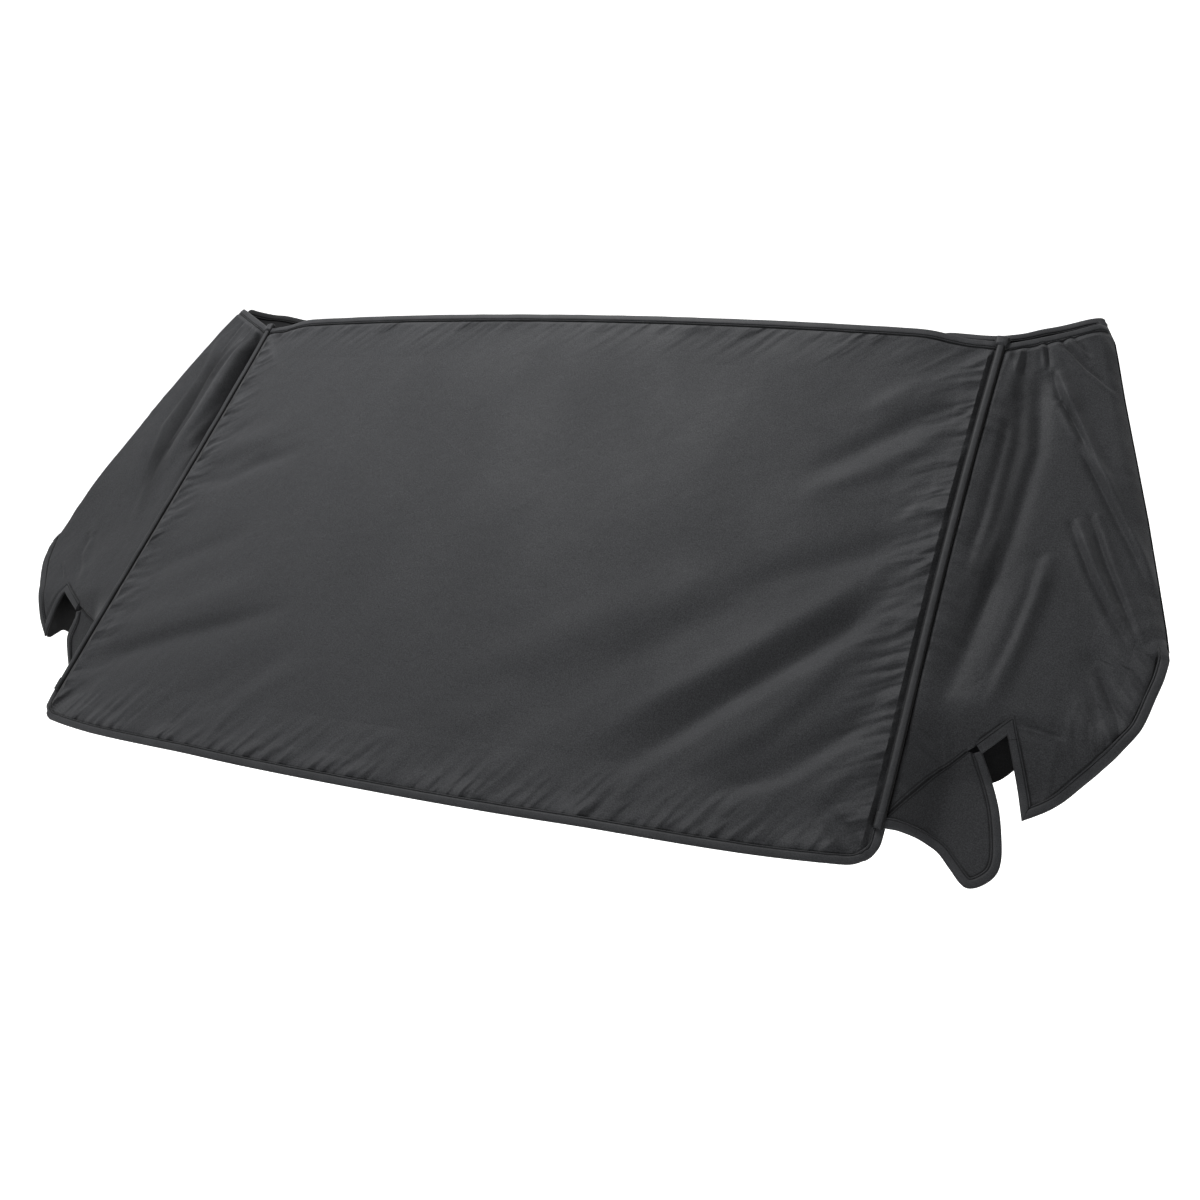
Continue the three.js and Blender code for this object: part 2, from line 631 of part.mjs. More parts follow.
function addWing(side) {
  const surface = sideSurface(side, wingPoint);
  const addBinding = (name, path, inward) => {
    addPiece(`${name}_${side.name}`, edgingGeometry(path, inward, surface, BINDING_SECTION), BINDING);
  };
  const hem = smoothPath(side.hem, WING_REAR_COLUMNS);
  const apex = vector2(side.notchApex);
  const apexLap = hem[0].clone().sub(apex).setLength(APEX_LAP);
  const notchRear = straightPath(apex.clone().add(apexLap), hem[0], WING_LOWER_ROWS - 1);
  const opening = [vector2(side.notchStart), apex, ...notchRear, ...hem.slice(1)];
  const { grid, frontColumns } = wingGrid(side, inset(opening, 1, CLOTH_INSET));
  const hasCell = (i, j) => i >= frontColumns || j < WING_UPPER_ROWS;
  addPiece(`wing_${side.name}`, clothGeometry(grid, surface, hasCell), FABRIC);

  const rearTop = vector2(side.rear[0]);
  const topStart = rearTop.clone().multiplyScalar(TOP_BINDING_CLEARANCE / rearTop.length());
  addBinding('wing_top_binding', straightPath(topStart, rearTop, WING_BINDING_STEPS), -1);

  addBinding('notch_binding', opening.slice(0, 3), 1);
  const hemStart = apex.clone().add(apexLap.setLength(APEX_LAP + EDGE_GAP));
  addBinding('hem_binding', [hemStart, ...opening.slice(3)], 1);
}

function addTongue(side) {
  const surface = sideSurface(side, wingPoint);
  const outline = smoothPath(side.tongue, TONGUE_COLUMNS);
  const rim = inset(outline, 1, TONGUE_INSET);
  const foot = footPath(side);
  const seam = inset(foot, -1, EDGE_GAP);
  const left = straightPath(seam[0], rim[0], TONGUE_ROWS);
  const right = straightPath(seam.at(-1), rim.at(-1), TONGUE_ROWS);
  addPiece(`mirror_tongue_${side.name}`, clothGeometry(patch(seam, rim, left, right), surface), FABRIC);
  addPiece(`tongue_binding_${side.name}`, edgingGeometry(outline, 1, surface, BINDING_SECTION), BINDING);
}

function addDoorFlap(side) {
  const surface = sideSurface(side, flapPoint);
  const rearAt = (p) => new THREE.Vector2(p, rearEdge(side, p) + FLAP_LIP);
  const topOutline = smoothPath(side.flapTop, FLAP_COLUMNS - 1);
  const clothTop = inset(topOutline, 1, CLOTH_INSET);
  clothTop.unshift(rearAt(clothTop[0].x));
  const foot = smoothPath(side.flapFoot, FLAP_COLUMNS);
  foot[0] = rearAt(foot[0].x);
  const rear = straightPath(clothTop[0], foot[0], FLAP_ROWS).map(({ x }) => rearAt(x));
  const inner = straightPath(clothTop.at(-1), foot.at(-1), FLAP_ROWS);
  addPiece(`door_flap_${side.name}`, clothGeometry(patch(clothTop, foot, rear, inner), surface), LINING_SIDE);
  addPiece(`flap_top_binding_${side.name}`, edgingGeometry(topOutline, 1, surface, BINDING_SECTION), BINDING);
}

addFrontPanel();
for (const side of SIDES) {
  addPillarSeam(side);
  addWing(side);
  addTongue(side);
  addDoorFlap(side);
}

export default cover;
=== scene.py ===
import math

import bpy
import numpy as np
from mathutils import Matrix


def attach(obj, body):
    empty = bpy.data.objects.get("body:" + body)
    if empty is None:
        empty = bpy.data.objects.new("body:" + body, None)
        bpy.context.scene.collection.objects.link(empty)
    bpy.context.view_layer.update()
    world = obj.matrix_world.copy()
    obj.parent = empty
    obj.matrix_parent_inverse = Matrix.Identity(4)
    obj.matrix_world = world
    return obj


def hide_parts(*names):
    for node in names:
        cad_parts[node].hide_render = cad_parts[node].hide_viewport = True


# Fitted windscreen cover in dark grey polyester, over its solids. Lengths are in millimetres in
# pattern coordinates, as the pieces are drawn, and become metres when a mesh is made:
#   front panel  (x, p)  x across, p down the rake from the top corners
#   wing, flap   (p, q)  p down the rake, q outward from the pillar seam

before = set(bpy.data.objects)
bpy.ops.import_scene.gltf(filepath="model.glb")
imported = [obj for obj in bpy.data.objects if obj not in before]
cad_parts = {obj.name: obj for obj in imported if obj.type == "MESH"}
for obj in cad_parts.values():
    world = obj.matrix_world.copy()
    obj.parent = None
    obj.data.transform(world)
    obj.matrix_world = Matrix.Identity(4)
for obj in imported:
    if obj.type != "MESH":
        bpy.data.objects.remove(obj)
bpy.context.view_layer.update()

MM = 0.001

# Driving dimensions, the same as the solids'
TOP_HALF_WIDTH = 741
BOTTOM_HALF_WIDTH = 779
PILLAR_LENGTH = 898
RAKE = math.radians(48)
TOP_ARCH = 36.3
TOP_BOW = 60
BOTTOM_BOW = 98
BOW_POWER = 2.6
ARCH_POWER = 2.2
SHOULDER_LIFT = 13
SHOULDER_POWER = 2.5
SHOULDER_START = 0.06
SHOULDER_END = 0.18
SHOULDER_DEPTH = 130
SEAM_BOW_IN = 7
SEAM_BOW_OUT = 1.5
SEAM_LEAN = 8
FOOT_TUCK = 8
FOOT_TUCK_POWER = 8
FOOT_ARCH = 13
FOOT_ARCH_START = 330
FOOT_ARCH_END = 740
FOOT_ARCH_TOP = 300
FOOT_ARCH_BASE = 850
BOTTOM_CORNER_RADIUS = 26

BINDING_WIDTH = 15
PIPING_HALF = 6.5
EDGE_GAP = 0.65
TAPE_START = -8
PIPING_START = 9
PIPING_END = 822
TAB_END = 843
BINDING_START = 844.9

# How the wings fall away, curl and roll, how the left tongue turns under, and where the flaps hang
WING_FALL = 0.21
FALL_EVEN_START = 330
FALL_EVEN_END = 520
HEM_CURL = 45
HEM_CURL_START = 620
HEM_CURL_LENGTH = 110
HEM_CURL_SPREAD = 60
RIM_ROLL_DEPTH = 14
RIM_ROLL_WIDTH = 20
ROLL_FADE_START = 440
ROLL_FADE_END = 530
TOP_SAG_SPAN = 140
TOP_SAG_START = 10
TOP_SAG_END = 160
SWING_START = 690
SWING_END = 800
CURL_START = 740
CURL_RADIUS = 80
CURL_NEAR = 12
CURL_FAR = 70
FLAP_GAP = 30
FLAP_GAP_SPREAD = 90
FLAP_INNER_SLOPE = 0.08
RIM_SEAM = 2.8
FLAP_LIP = 2.5
FLAP_TOP_GAP = 3.6
FLAP_TOP_GAP_START = -50
FLAP_TOP_GAP_END = 20
SEAM_FADE = 30

# How far the tapes and the cloth run on under one another, so that no gap shows between them
TAPE_LAP = 4
CLOTH_INSET = BINDING_WIDTH - TAPE_LAP
TAPE_TUCK = 3
WING_TAPE_START = 5
NOTCH_TAPE_TUCK = 4
HEM_TAPE_OVERRUN = 24
HEM_TAPE_OUT = 2.2
HEM_TAPE_OUT_FADE = 60
TONGUE_ROOT = (841.5, 3)
APEX_LAP = 5
PIPING_TOP_LAP = 4
PIPING_FOOT_LAP = 3
PIPING_END_LAP = 1
MITRE_GAP = 0.25
MITRE_STRETCH_LIMIT = 0.35
FLAP_TAPE_LEAD = 0.6

# Dips of the cloth at a piped seam, at a tape and at a sewn join, and their distances
GROOVE_DEPTH = 2.2
GROOVE_START = 4.5
GROOVE_END = 9
TAPE_DIP = 1.6
TAPE_DIP_END = 21
SEAM_DIP = 1.6
SEAM_DIP_WIDTH = 3.0

# Shares of the main folds and the creases that the sheets show, where they fade out beside a
# seam or a tape, and the slow unevenness of the cloth
PANEL_FOLD_SHARE = 0.8
PANEL_CREASE_SHARE = 0.7
PANEL_SEAM_FADE = (8, 18)
PANEL_TAPE_FADE = (12, 24)
WING_FOLD_FADE = (4, SEAM_FADE)
WING_SEAM_FADE = (8, 15)
PANEL_DRIFT = 0.5
PANEL_DRIFT_LEAN = 0.4
WING_DRIFT = 0.6
FLAP_DRIFT = 1.2
CREASE_PEAK = 2.33

# How the puckers lean as they run in from an edge, and how gathers fan out down a wing
PILLAR_LEAN = 0.42
FOOT_LEAN = 0.6
TOP_LEAN = 0.9
WING_SEAM_LEAN = 0.4
WING_HEM_LEAN = 0.8
GATHER_SPREAD = 0.009
GATHER_CENTRE = 38

# Puckers of the cloth's material: their pitch along an edge, their length and their reach. Each
# edge has its own stretch of the pattern. Where two edges are about as near, puckers fade out.
PUCKER_PITCH = 19
PUCKER_LENGTH = 55
PUCKER_REACH = 100
PUCKER_STRETCH = 3000
CLEAR_FADE = (4, 26)
PANEL_TOP_LEAD = 6
WING_SEAM_LEAD = 4
WING_TOP_SHARE = 0.6
PANEL_PUCKERS = np.array([1.0, 0.9, 0.5])
FAR_AWAY = 500

# How far the painted shade reaches beside a piping or a tape. The panel's painted shade is narrower than a
# wing's.
SHADE_REACH = 30
PANEL_SHADE_SQUEEZE = 1.7

# The cloth itself, thinner than its solid, and the fineness of the meshes
SHEET = 1.6
PANEL_COLUMNS = 250
PANEL_ROWS = 184
PANEL_CROWDING = 0.24
CORNER_STEPS = 8
WING_ROWS = 224
WING_CROWDING = 0.3
WING_FOOT_STEPS = 34
WING_NOTCH_STEPS = 8
WING_REAR_COLUMNS = 84
WING_LOWER_ROWS = 34
TONGUE_STEPS = 64
TONGUE_ROWS = 18
FLAP_COLUMNS = 52
FLAP_ROWS = 110
HEM_STEPS = 80
HEM_LOOK_AHEAD = 8
EDGING_STEP = 3.2
WING_TOP_TAPE_STEPS = 50
NOTCH_TAPE_STEPS = 12
APEX_LAP_STEPS = 2
REAR_TAPE_STEPS = 40
HEM_OVERRUN_STEPS = 7
TONGUE_TAPE_STEPS = 120
FLAP_TAPE_STEPS = 84
NOTCH_LINE_TOP = 0.42
NOTCH_LINE_REAR_P = 400
HEM_END_CLEARANCE = 8
RIM_PULL_POWER = 6
FOOT_BIAS = 0.8
SHARP_ANGLE = math.radians(52)

# Rows of stitches, as columns of a tape's section, and the size of each stitch
STITCH_COLUMNS = (9,)
STITCH_PITCH = 4.2
STITCH_LENGTH = 3.1
STITCH_HALF = 0.42
STITCH_PROUD = 0.3
STITCH_LIFT = 0.05

RAKE_DOWN = np.array([0, -math.cos(RAKE), -math.sin(RAKE)])
RAKE_OUT = np.array([0, -math.sin(RAKE), math.cos(RAKE)])
ACROSS = np.array([1.0, 0, 0])

# Main folds that the solids have: start, end, half-width and height, troughs negative
FRONT_FOLDS = [
    ((741, 121), (506, 312), 26, -8), ((728, 60), (560, 190), 24, 7),
    ((720, 175), (500, 355), 28, 6), ((721, 372), (443, 529), 34, -7),
    ((701, 432), (300, 805), 34, 9), ((712, 469), (350, 834), 26, -10),
    ((715, 545), (470, 815), 28, 6), ((745, 662), (520, 838), 24, -9),
    ((751, 735), (660, 830), 24, 6), ((547, 475), (89, 777), 46, -7),
    ((470, 450), (40, 730), 46, 6), ((-722, 378), (-440, 285), 28, -7),
    ((-722, 335), (-520, 260), 26, 5), ((-748, 601), (-448, 447), 34, -5),
    ((-768, 795), (-250, 581), 34, -8), ((-745, 735), (-330, 560), 34, 6),
    ((-486, 862), (-213, 647), 32, -6),
]

# Finer creases of the front panel: half-width, depth and line. The cloth steps down across a
# crease with positive depth, so that its lower flank turns from the light.
FRONT_CREASES = [
    (20, 3.4, [(741, 121), (659, 178), (610, 220), (548, 271), (506, 312)]),
    (13, 1.6, [(726, 57), (685, 103)]),
    (16, -1.8, [(728, 30), (678, 74), (630, 127), (583, 166), (534, 197)]),
    (15, -1.2, [(674, 13), (628, 47), (579, 77)]),
    (15, 1.2, [(536, 11), (487, 37), (439, 72)]),
    (17, -1.8, [(730, 156), (674, 227), (631, 270), (500, 344)]),
    (10, 1.2, [(730, 200), (703, 237)]),
    (12, 1.9, [(729, 285), (704, 302), (667, 352)]),
    (24, 2.0, [(721, 372), (637, 431), (571, 456), (532, 472), (443, 529)]),
    (16, -1.4, [(737, 396), (676, 444), (653, 489)]),
    (11, 1.6, [(728, 455), (688, 489), (660, 517)]),
    (22, 4.2, [(710, 469), (657, 559), (605, 613), (535, 676), (481, 734), (424, 786), (350, 834)]),
    (20, -2.4, [(701, 432), (630, 512), (575, 568), (519, 623), (443, 679), (372, 747), (279, 816)]),
    (18, -2.2, [(715, 516), (635, 654), (587, 729), (500, 792), (452, 816)]),
    (17, 3.4, [(745, 662), (713, 693), (679, 742), (637, 784), (576, 809), (498, 844)]),
    (12, 1.8, [(748, 781), (721, 801), (690, 855)]),
    (12, -1.6, [(751, 743), (679, 817)]),
    (11, 1.0, [(728, 567), (704, 607), (697, 632)]),
    (38, 2.2, [(89, 777), (204, 738), (251, 700), (326, 626), (403, 562), (464, 514), (547, 475)]),
    (34, -1.6, [(82, 762), (135, 731), (210, 648)]),
    (16, 1.0, [(-712, 29), (-580, 28)]),
    (18, 3.0, [(-722, 378), (-612, 358), (-556, 323), (-477, 299), (-425, 280)]),
    (13, 1.6, [(-707, 278), (-674, 259), (-602, 212)]),
    (11, 1.5, [(-738, 482), (-686, 451), (-646, 442)]),
    (20, 1.2, [(-748, 601), (-602, 521), (-448, 447)]),
    (18, 3.0, [(-770, 795), (-662, 739), (-550, 689), (-443, 650), (-250, 581)]),
    (14, 1.2, [(-737, 809), (-626, 831)]),
    (18, 1.7, [(-486, 870), (-425, 820), (-355, 785), (-286, 710), (-213, 647)]),
    (18, 1.3, [(-320, 841), (-257, 759), (-185, 697)]),
]

# Front edge and tip of both tongues
TONGUE_TIP = [
    (838.5, 13), (834, 24), (830.5, 44), (838, 66), (857, 87), (873, 104), (877.5, 116), (870, 131),
    (852, 145.5), (830, 149),
]

# The two wings: outlines as finished with binding, main folds as the solids have them, deeper and
# finer folds, painted shadows in deep folds as half-width, strength and line, and creases as on the
# panel. puckers gives the strength of the puckers beside each edge, in the material and at the hem in the
# mesh.
SIDES = [
    {
        "name": "right", "sign": 1, "upper_fall": 0.21, "top_sag": 6,
        "swing": 0, "curl": 0, "knot_flare": 1.35, "crease_scale": 1.9,
        "puckers": {"seam": 0.35, "top": 0.7, "hem": 1.0, "notch": 0.5},
        "rear": [
            (-70, 141.5), (-46, 155), (-10, 167), (64, 190), (170, 224.5), (271, 256.5), (369, 284.7),
            (447, 306.4), (498, 318.5),
        ],
        "hem": [
            (765, 163), (739, 196), (701.6, 230), (677, 254), (650.7, 277.6), (616, 299.2),
            (565, 311.5), (530, 317.5), (498, 318.5),
        ],
        "notch_apex": (659.5, 131),
        "notch_start": (684.5, 102.8),
        "wing_foot": [(818, 7.2), (790, 18.5), (743, 37.4), (721.8, 48), (708.8, 59), (689, 79)],
        "tongue": [
            *TONGUE_TIP, (799, 144), (757, 132.6), (720, 117), (683.5, 99),
        ],
        "flap_top": [
            (-84, 136.5), (-92.5, 127), (-80.5, 86), (-67, 49), (-46, 10), (-38, -25), (-38, -95),
            (-30, -117),
        ],
        "flap_foot": [(480, 308), (600, 258), (655, 208), (680, 148), (709, 110), (738, 30)],
        "folds": [
            ((20, 62), (420, 66), 26, -9), ((380, 70), (690, 34), 20, -9),
            ((364, 136), (670, 86), 20, 7), ((32, 90), (310, 245), 14, 6),
            ((300, 161), (519, 295), 13, 5), ((89, 122), (240, 215), 14, -5),
            ((500, 215), (640, 268), 18, -5),
        ],
        "deep_folds": [
            ((0, 40), (330, 55), 14, -3.5), ((-10, 30), (300, 34), 10, 3), ((330, 160), (560, 290), 9, 3),
        ],
        "hollows": [
            (20, 0.28, [(20, 50), (189, 62), (343, 60), (463, 48), (640, 32)]),
            (5, 0.5, [(4, 17), (30, 24)]),
        ],
        "creases": [
            (14, 2.4, [(32, 57), (189, 83), (343, 76), (463, 61), (655, 37)]),
            (10, -2.0, [(97, 35), (179, 43), (322, 43), (469, 34)]),
            (12, -2.4, [(364, 136), (446, 131), (514, 121), (599, 104), (659, 88)]),
            (8.5, -3.2, [(32, 86), (92, 113), (189, 169), (253, 208), (310, 245)]),
            (8, -3.0, [(300, 161), (389, 204), (447, 240), (519, 295)]),
            (7.5, -2.4, [(282, 185), (367, 223), (432, 256), (494, 286), (531, 309)]),
            (8, -2.4, [(157, 144), (265, 210), (346, 260), (421, 298), (455, 312)]),
            (6, 2.4, [(-24, 79), (29, 130), (75, 191)]),
            (5, 1.8, [(-32, 97), (8, 135)]),
            (5, 1.8, [(-18, 61), (40, 78)]),
            (5, 1.8, [(2, 35), (57, 36)]),
            (7, 2.6, [(89, 102), (173, 157), (233, 196)]),
            (8, 2.0, [(536, 227), (618, 270)]),
            (7, 1.8, [(644, 143), (652, 217)]),
        ],
    },
    {
        "name": "left", "sign": -1, "upper_fall": 0.145, "top_sag": 0,
        "swing": 30, "curl": 1, "knot_flare": 1, "crease_scale": 1.2,
        "puckers": {"seam": 0.0, "top": 0.6, "hem": 0.1, "notch": 0.1},
        "rear": [
            (-71, 126), (-52, 143), (-23, 159.5), (0, 170.5), (60, 193), (155, 224), (265, 253),
            (360, 278), (435, 302), (500, 317),
        ],
        "hem": [
            (702, 206), (677, 226), (650, 240), (622, 256), (598, 273), (574, 290), (545, 306), (500, 317),
        ],
        "notch_apex": (629, 165),
        "notch_start": (660, 116.5),
        "wing_foot": [(698, 7.2), (689, 31), (678, 57.7), (669, 78), (660, 92.5)],
        "tongue": [
            *TONGUE_TIP, (799, 147), (757, 140), (735, 136.5), (710, 134.5),
            (697, 128), (684, 118), (673, 112.5), (663.5, 112),
        ],
        "flap_top": [
            (-73, 130), (-81.5, 121), (-76, 96), (-67.4, 34), (-54, -21), (-45.5, -59), (-36, -117),
        ],
        "flap_foot": [
            (480, 308), (600, 285), (660, 258), (692, 232), (686, 203), (681, 177), (700, 120), (735, 30),
        ],
        "folds": [
            ((-5, 22), (370, 35), 13, -17), ((-5, 55), (390, 84), 20, 8),
            ((30, 140), (470, 100), 24, -7), ((484, 196), (600, 140), 20, -4),
        ],
        "deep_folds": [
            ((-20, 20), (360, 26), 9, -9), ((-10, 44), (380, 62), 13, 7), ((40, 120), (430, 112), 16, -4),
        ],
        "hollows": [
            (19, 0.97, [(-16, 12), (60, 20), (160, 22), (300, 14), (440, 7)]),
            (26, 0.52, [(20, 95), (150, 120), (300, 120), (400, 88), (500, 62)]),
        ],
        "creases": [
            (9, 2.2, [(6, 26), (77, 30), (179, 34), (285, 50), (371, 32)]),
            (12, -2.2, [(-5, 39), (57, 74), (120, 92), (211, 89), (292, 107), (393, 61)]),
            (14, 2.2, [(-8, 145), (60, 144), (152, 148), (236, 159), (326, 138), (419, 98), (514, 70)]),
            (12, 2.0, [(484, 196), (538, 184), (621, 125)]),
            (6, 1.8, [(-28, 90), (20, 104), (60, 112)]),
            (6, 1.8, [(-10, 55), (34, 60)]),
            (3.5, 1.4, [(560, 230), (600, 190)]),
        ],
    },
]


def smoothstep(x, low, high):
    t = np.clip((x - low) / (high - low), 0, 1)
    return t * t * (3 - 2 * t)


def blend(a, b, t):
    return a + (b - a) * t


def fold_height(a, b, folds):
    """Height of the main folds at pattern points: a soft bell across each, tapered at its ends."""
    height = np.zeros(np.shape(a))
    for (a1, b1), (a2, b2), width, depth in folds:
        da, db = a2 - a1, b2 - b1
        length = math.hypot(da, db)
        along = ((a - a1) * da + (b - b1) * db) / length ** 2
        across = ((a - a1) * db - (b - b1) * da) / length
        taper = smoothstep(along, 0, 0.2) * (1 - smoothstep(along, 0.65, 1))
        height += depth * taper * np.exp(-((across / width) ** 2))
    return height


def line_lengths(path):
    """Run along an outline at each of its points."""
    return np.concatenate([[0], np.cumsum(np.hypot(*np.diff(path, axis=0).T))])


def placed_on(a, b, line):
    """Distance from pattern points to a polyline, how far along it the nearest place is, and the
    side of it that each point is on, as 1 or -1."""
    points = np.asarray(line, float)
    distance = np.full(np.shape(a), np.inf)
    along, side = np.zeros(np.shape(a)), np.zeros(np.shape(a))
    for (a1, b1), (da, db), start in zip(points, np.diff(points, axis=0), line_lengths(points)):
        length = np.hypot(da, db)
        t = np.clip(((a - a1) * da + (b - b1) * db) / length ** 2, 0, 1)
        here = np.hypot(a - a1 - t * da, b - b1 - t * db)
        closer = here < distance
        along = np.where(closer, start + t * length, along)
        side = np.where(closer, np.sign((a - a1) * db - (b - b1) * da), side)
        distance = np.where(closer, here, distance)
    return distance, along, side


def nearest_on(a, b, line):
    """Distance from pattern points to a polyline, and how far along it the nearest place is."""
    return placed_on(a, b, line)[:2]


def beside(a, b, line):
    """Distance from a polyline at the points that lie beside it, and far away past its ends."""
    distance, along = nearest_on(a, b, line)
    past = (along > line_lengths(line)[-1] - 0.01) | (along < 0.01)
    return np.where(past & (distance > 0.1), FAR_AWAY, distance)


def crease_height(a, b, creases):
    """Height of the fine creases: across each the cloth rises on one side and dips on the other."""
    height = np.zeros(np.shape(a))
    for width, depth, line in creases:
        distance, along, side = placed_on(a, b, line)
        reached = along / line_lengths(line)[-1]
        taper = smoothstep(reached, 0, 0.22) * (1 - smoothstep(reached, 0.6, 1))
        quick_start = 0.5 * smoothstep(reached, 0, 0.05) * (1 - smoothstep(reached, 0.3, 0.9))
        t = side * distance / width
        height += depth * np.maximum(taper, quick_start) * CREASE_PEAK * t * np.exp(-t * t)
    return height


class Patches:
    """Smooth random field over two coordinates, the same on every run."""

    SIZE = 256

    def __init__(self, seed, pitch_a, pitch_b):
        self.values = np.random.RandomState(seed).uniform(-1, 1, (self.SIZE, self.SIZE))
        self.pitch_a, self.pitch_b = pitch_a, pitch_b

    def __call__(self, a, b):
        a = np.asarray(a, float) / self.pitch_a + self.SIZE // 2
        b = np.asarray(b, float) / self.pitch_b + self.SIZE // 2
        i, j = np.floor(a).astype(int), np.floor(b).astype(int)
        s, t = a - i, b - j
        s, t = s * s * (3 - 2 * s), t * t * (3 - 2 * t)
        v, n = self.values, self.SIZE
        near = blend(v[i % n, j % n], v[(i + 1) % n, j % n], s)
        far = blend(v[i % n, (j + 1) % n], v[(i + 1) % n, (j + 1) % n], s)
        return blend(near, far, t)


panel_drift = Patches(15, 170, 120)
wing_drift = Patches(22, 90, 45)
flap_drift = Patches(31, 120, 80)
tape_waves = Patches(41, 26, 60)

# Puckers of the meshes beside their edges: the distances where they start and are full, the one
# over which they die away, and the height and field of their waves and of the ridges between
PUCKERS = {
    "pillar": dict(
        start=8, full=15, reach=55, wave_height=2.4, waves=Patches(11, 46, 15),
        ridge_height=1.5, ridges=Patches(16, 70, 21),
    ),
    "pillar_fine": dict(start=8, full=15, reach=26, wave_height=1.4, waves=Patches(12, 24, 9)),
    "foot": dict(
        start=13, full=22, reach=60, wave_height=2.2, waves=Patches(13, 19, 70),
        ridge_height=1.8, ridges=Patches(17, 30, 90),
    ),
    "top": dict(start=13, full=24, reach=42, wave_height=1.3, waves=Patches(14, 24, 60)),
    "wing_top": dict(
        start=12, full=24, reach=75, wave_height=1.9, waves=Patches(21, 70, 11),
        ridge_height=2.0, ridges=Patches(25, 90, 14),
    ),
    "wing_hem": dict(
        start=13, full=20, reach=24, wave_height=2.2, waves=Patches(23, 13, 40),
        ridge_height=1.6, ridges=Patches(26, 22, 60),
    ),
    "rim": dict(start=2, full=9, reach=20, wave_height=0.9, waves=Patches(23, 13, 40)),
}


def crisp(field):
    """Narrow ridges along the lines where a smooth field crosses zero."""
    return (1 - np.abs(field)) ** 4


def puckers(kind, distance, a, b):
    """Height of one kind of puckers, at a distance from their edge and a place in their field."""
    row = PUCKERS[kind]
    height = row["wave_height"] * row["waves"](a, b)
    if "ridges" in row:
        height += row["ridge_height"] * crisp(row["ridges"](a, b))
    fade = smoothstep(distance, row["start"], row["full"])
    return fade * np.exp(-np.maximum(distance, 0) / row["reach"]) * height


def seam_point(p):
    """The pillar seam of the right side, p down from the top corner."""
    p = np.asarray(p, float)
    t = p / PILLAR_LENGTH
    bulge = 4 * t * (1 - t)
    tuck = FOOT_TUCK * np.maximum(t, 0) ** FOOT_TUCK_POWER
    x = blend(TOP_HALF_WIDTH, BOTTOM_HALF_WIDTH, t) - SEAM_BOW_IN * bulge - tuck
    out = SEAM_BOW_OUT * bulge + SEAM_LEAN * t
    return x[..., None] * ACROSS + p[..., None] * RAKE_DOWN + out[..., None] * RAKE_OUT


def foot_row(x, p):
    """Pattern row lifted to the foot of the panel, which arches up between its corners."""
    corner = smoothstep(np.abs(x), FOOT_ARCH_START, FOOT_ARCH_END)
    return p - FOOT_ARCH * (1 - corner) * smoothstep(p, FOOT_ARCH_TOP, FOOT_ARCH_BASE)


def groove(distance):
    """How far cloth dips where it enters a piped seam."""
    return -GROOVE_DEPTH * (1 - smoothstep(distance, GROOVE_START, GROOVE_END))


def tape_dip(distance):
    """How far cloth dips where it goes in under a tape."""
    return -TAPE_DIP * (1 - smoothstep(distance, BINDING_WIDTH, TAPE_DIP_END))


def front_relief(x, p):
    """Height of the front panel's folds, creases and puckers."""
    outward = np.sign(x)
    from_side = seam_point(p)[..., 0] - np.abs(x)
    from_bottom = foot_row(x, PILLAR_LENGTH) - p
    fold_fade = math.prod(smoothstep(distance, 0, SEAM_FADE) for distance in (from_side, p, from_bottom))
    crease_fade = smoothstep(from_side, *PANEL_SEAM_FADE)
    crease_fade = crease_fade * smoothstep(p, *PANEL_TAPE_FADE) * smoothstep(from_bottom, *PANEL_TAPE_FADE)
    height = PANEL_FOLD_SHARE * fold_fade * fold_height(x, p, FRONT_FOLDS)
    height += groove(from_side) + tape_dip(p) + tape_dip(from_bottom)
    height += crease_fade * PANEL_CREASE_SHARE * crease_height(x, p, FRONT_CREASES)
    inner, lean = from_side * outward, p - PILLAR_LEAN * outward * from_side
    height += puckers("pillar", from_side, inner, lean) + puckers("pillar_fine", from_side, inner, lean)
    height += puckers("foot", from_bottom, x - FOOT_LEAN * from_bottom, from_bottom)
    height += puckers("top", p, x + TOP_LEAN * p, p)
    return height + crease_fade * PANEL_DRIFT * panel_drift(x + PANEL_DRIFT_LEAN * p, p)


def seam_foot(side):
    """The seam of the tongue to the wing, from the pillar seam to the notch."""
    (p1, q1), (p2, q2) = side["wing_foot"][:2]
    return [(p1 + q1 * (p1 - p2) / (q2 - q1), 0), *side["wing_foot"][1:]]


def clear_of_others(edges):
    """1 where one edge is clearly the nearest, falling to 0 where two are equally near."""
    ordered = np.sort(edges, axis=0)
    return smoothstep(ordered[1] - ordered[0], *CLEAR_FADE)


def nearest_edge(edges, places):
    """Distance from the nearest of some edges, the place along it, and which one it is."""
    nearest = np.argmin(edges, axis=0)[None]
    distance, place = (np.take_along_axis(values, nearest, 0)[0] for values in (edges, places))
    return distance, place, nearest[0]


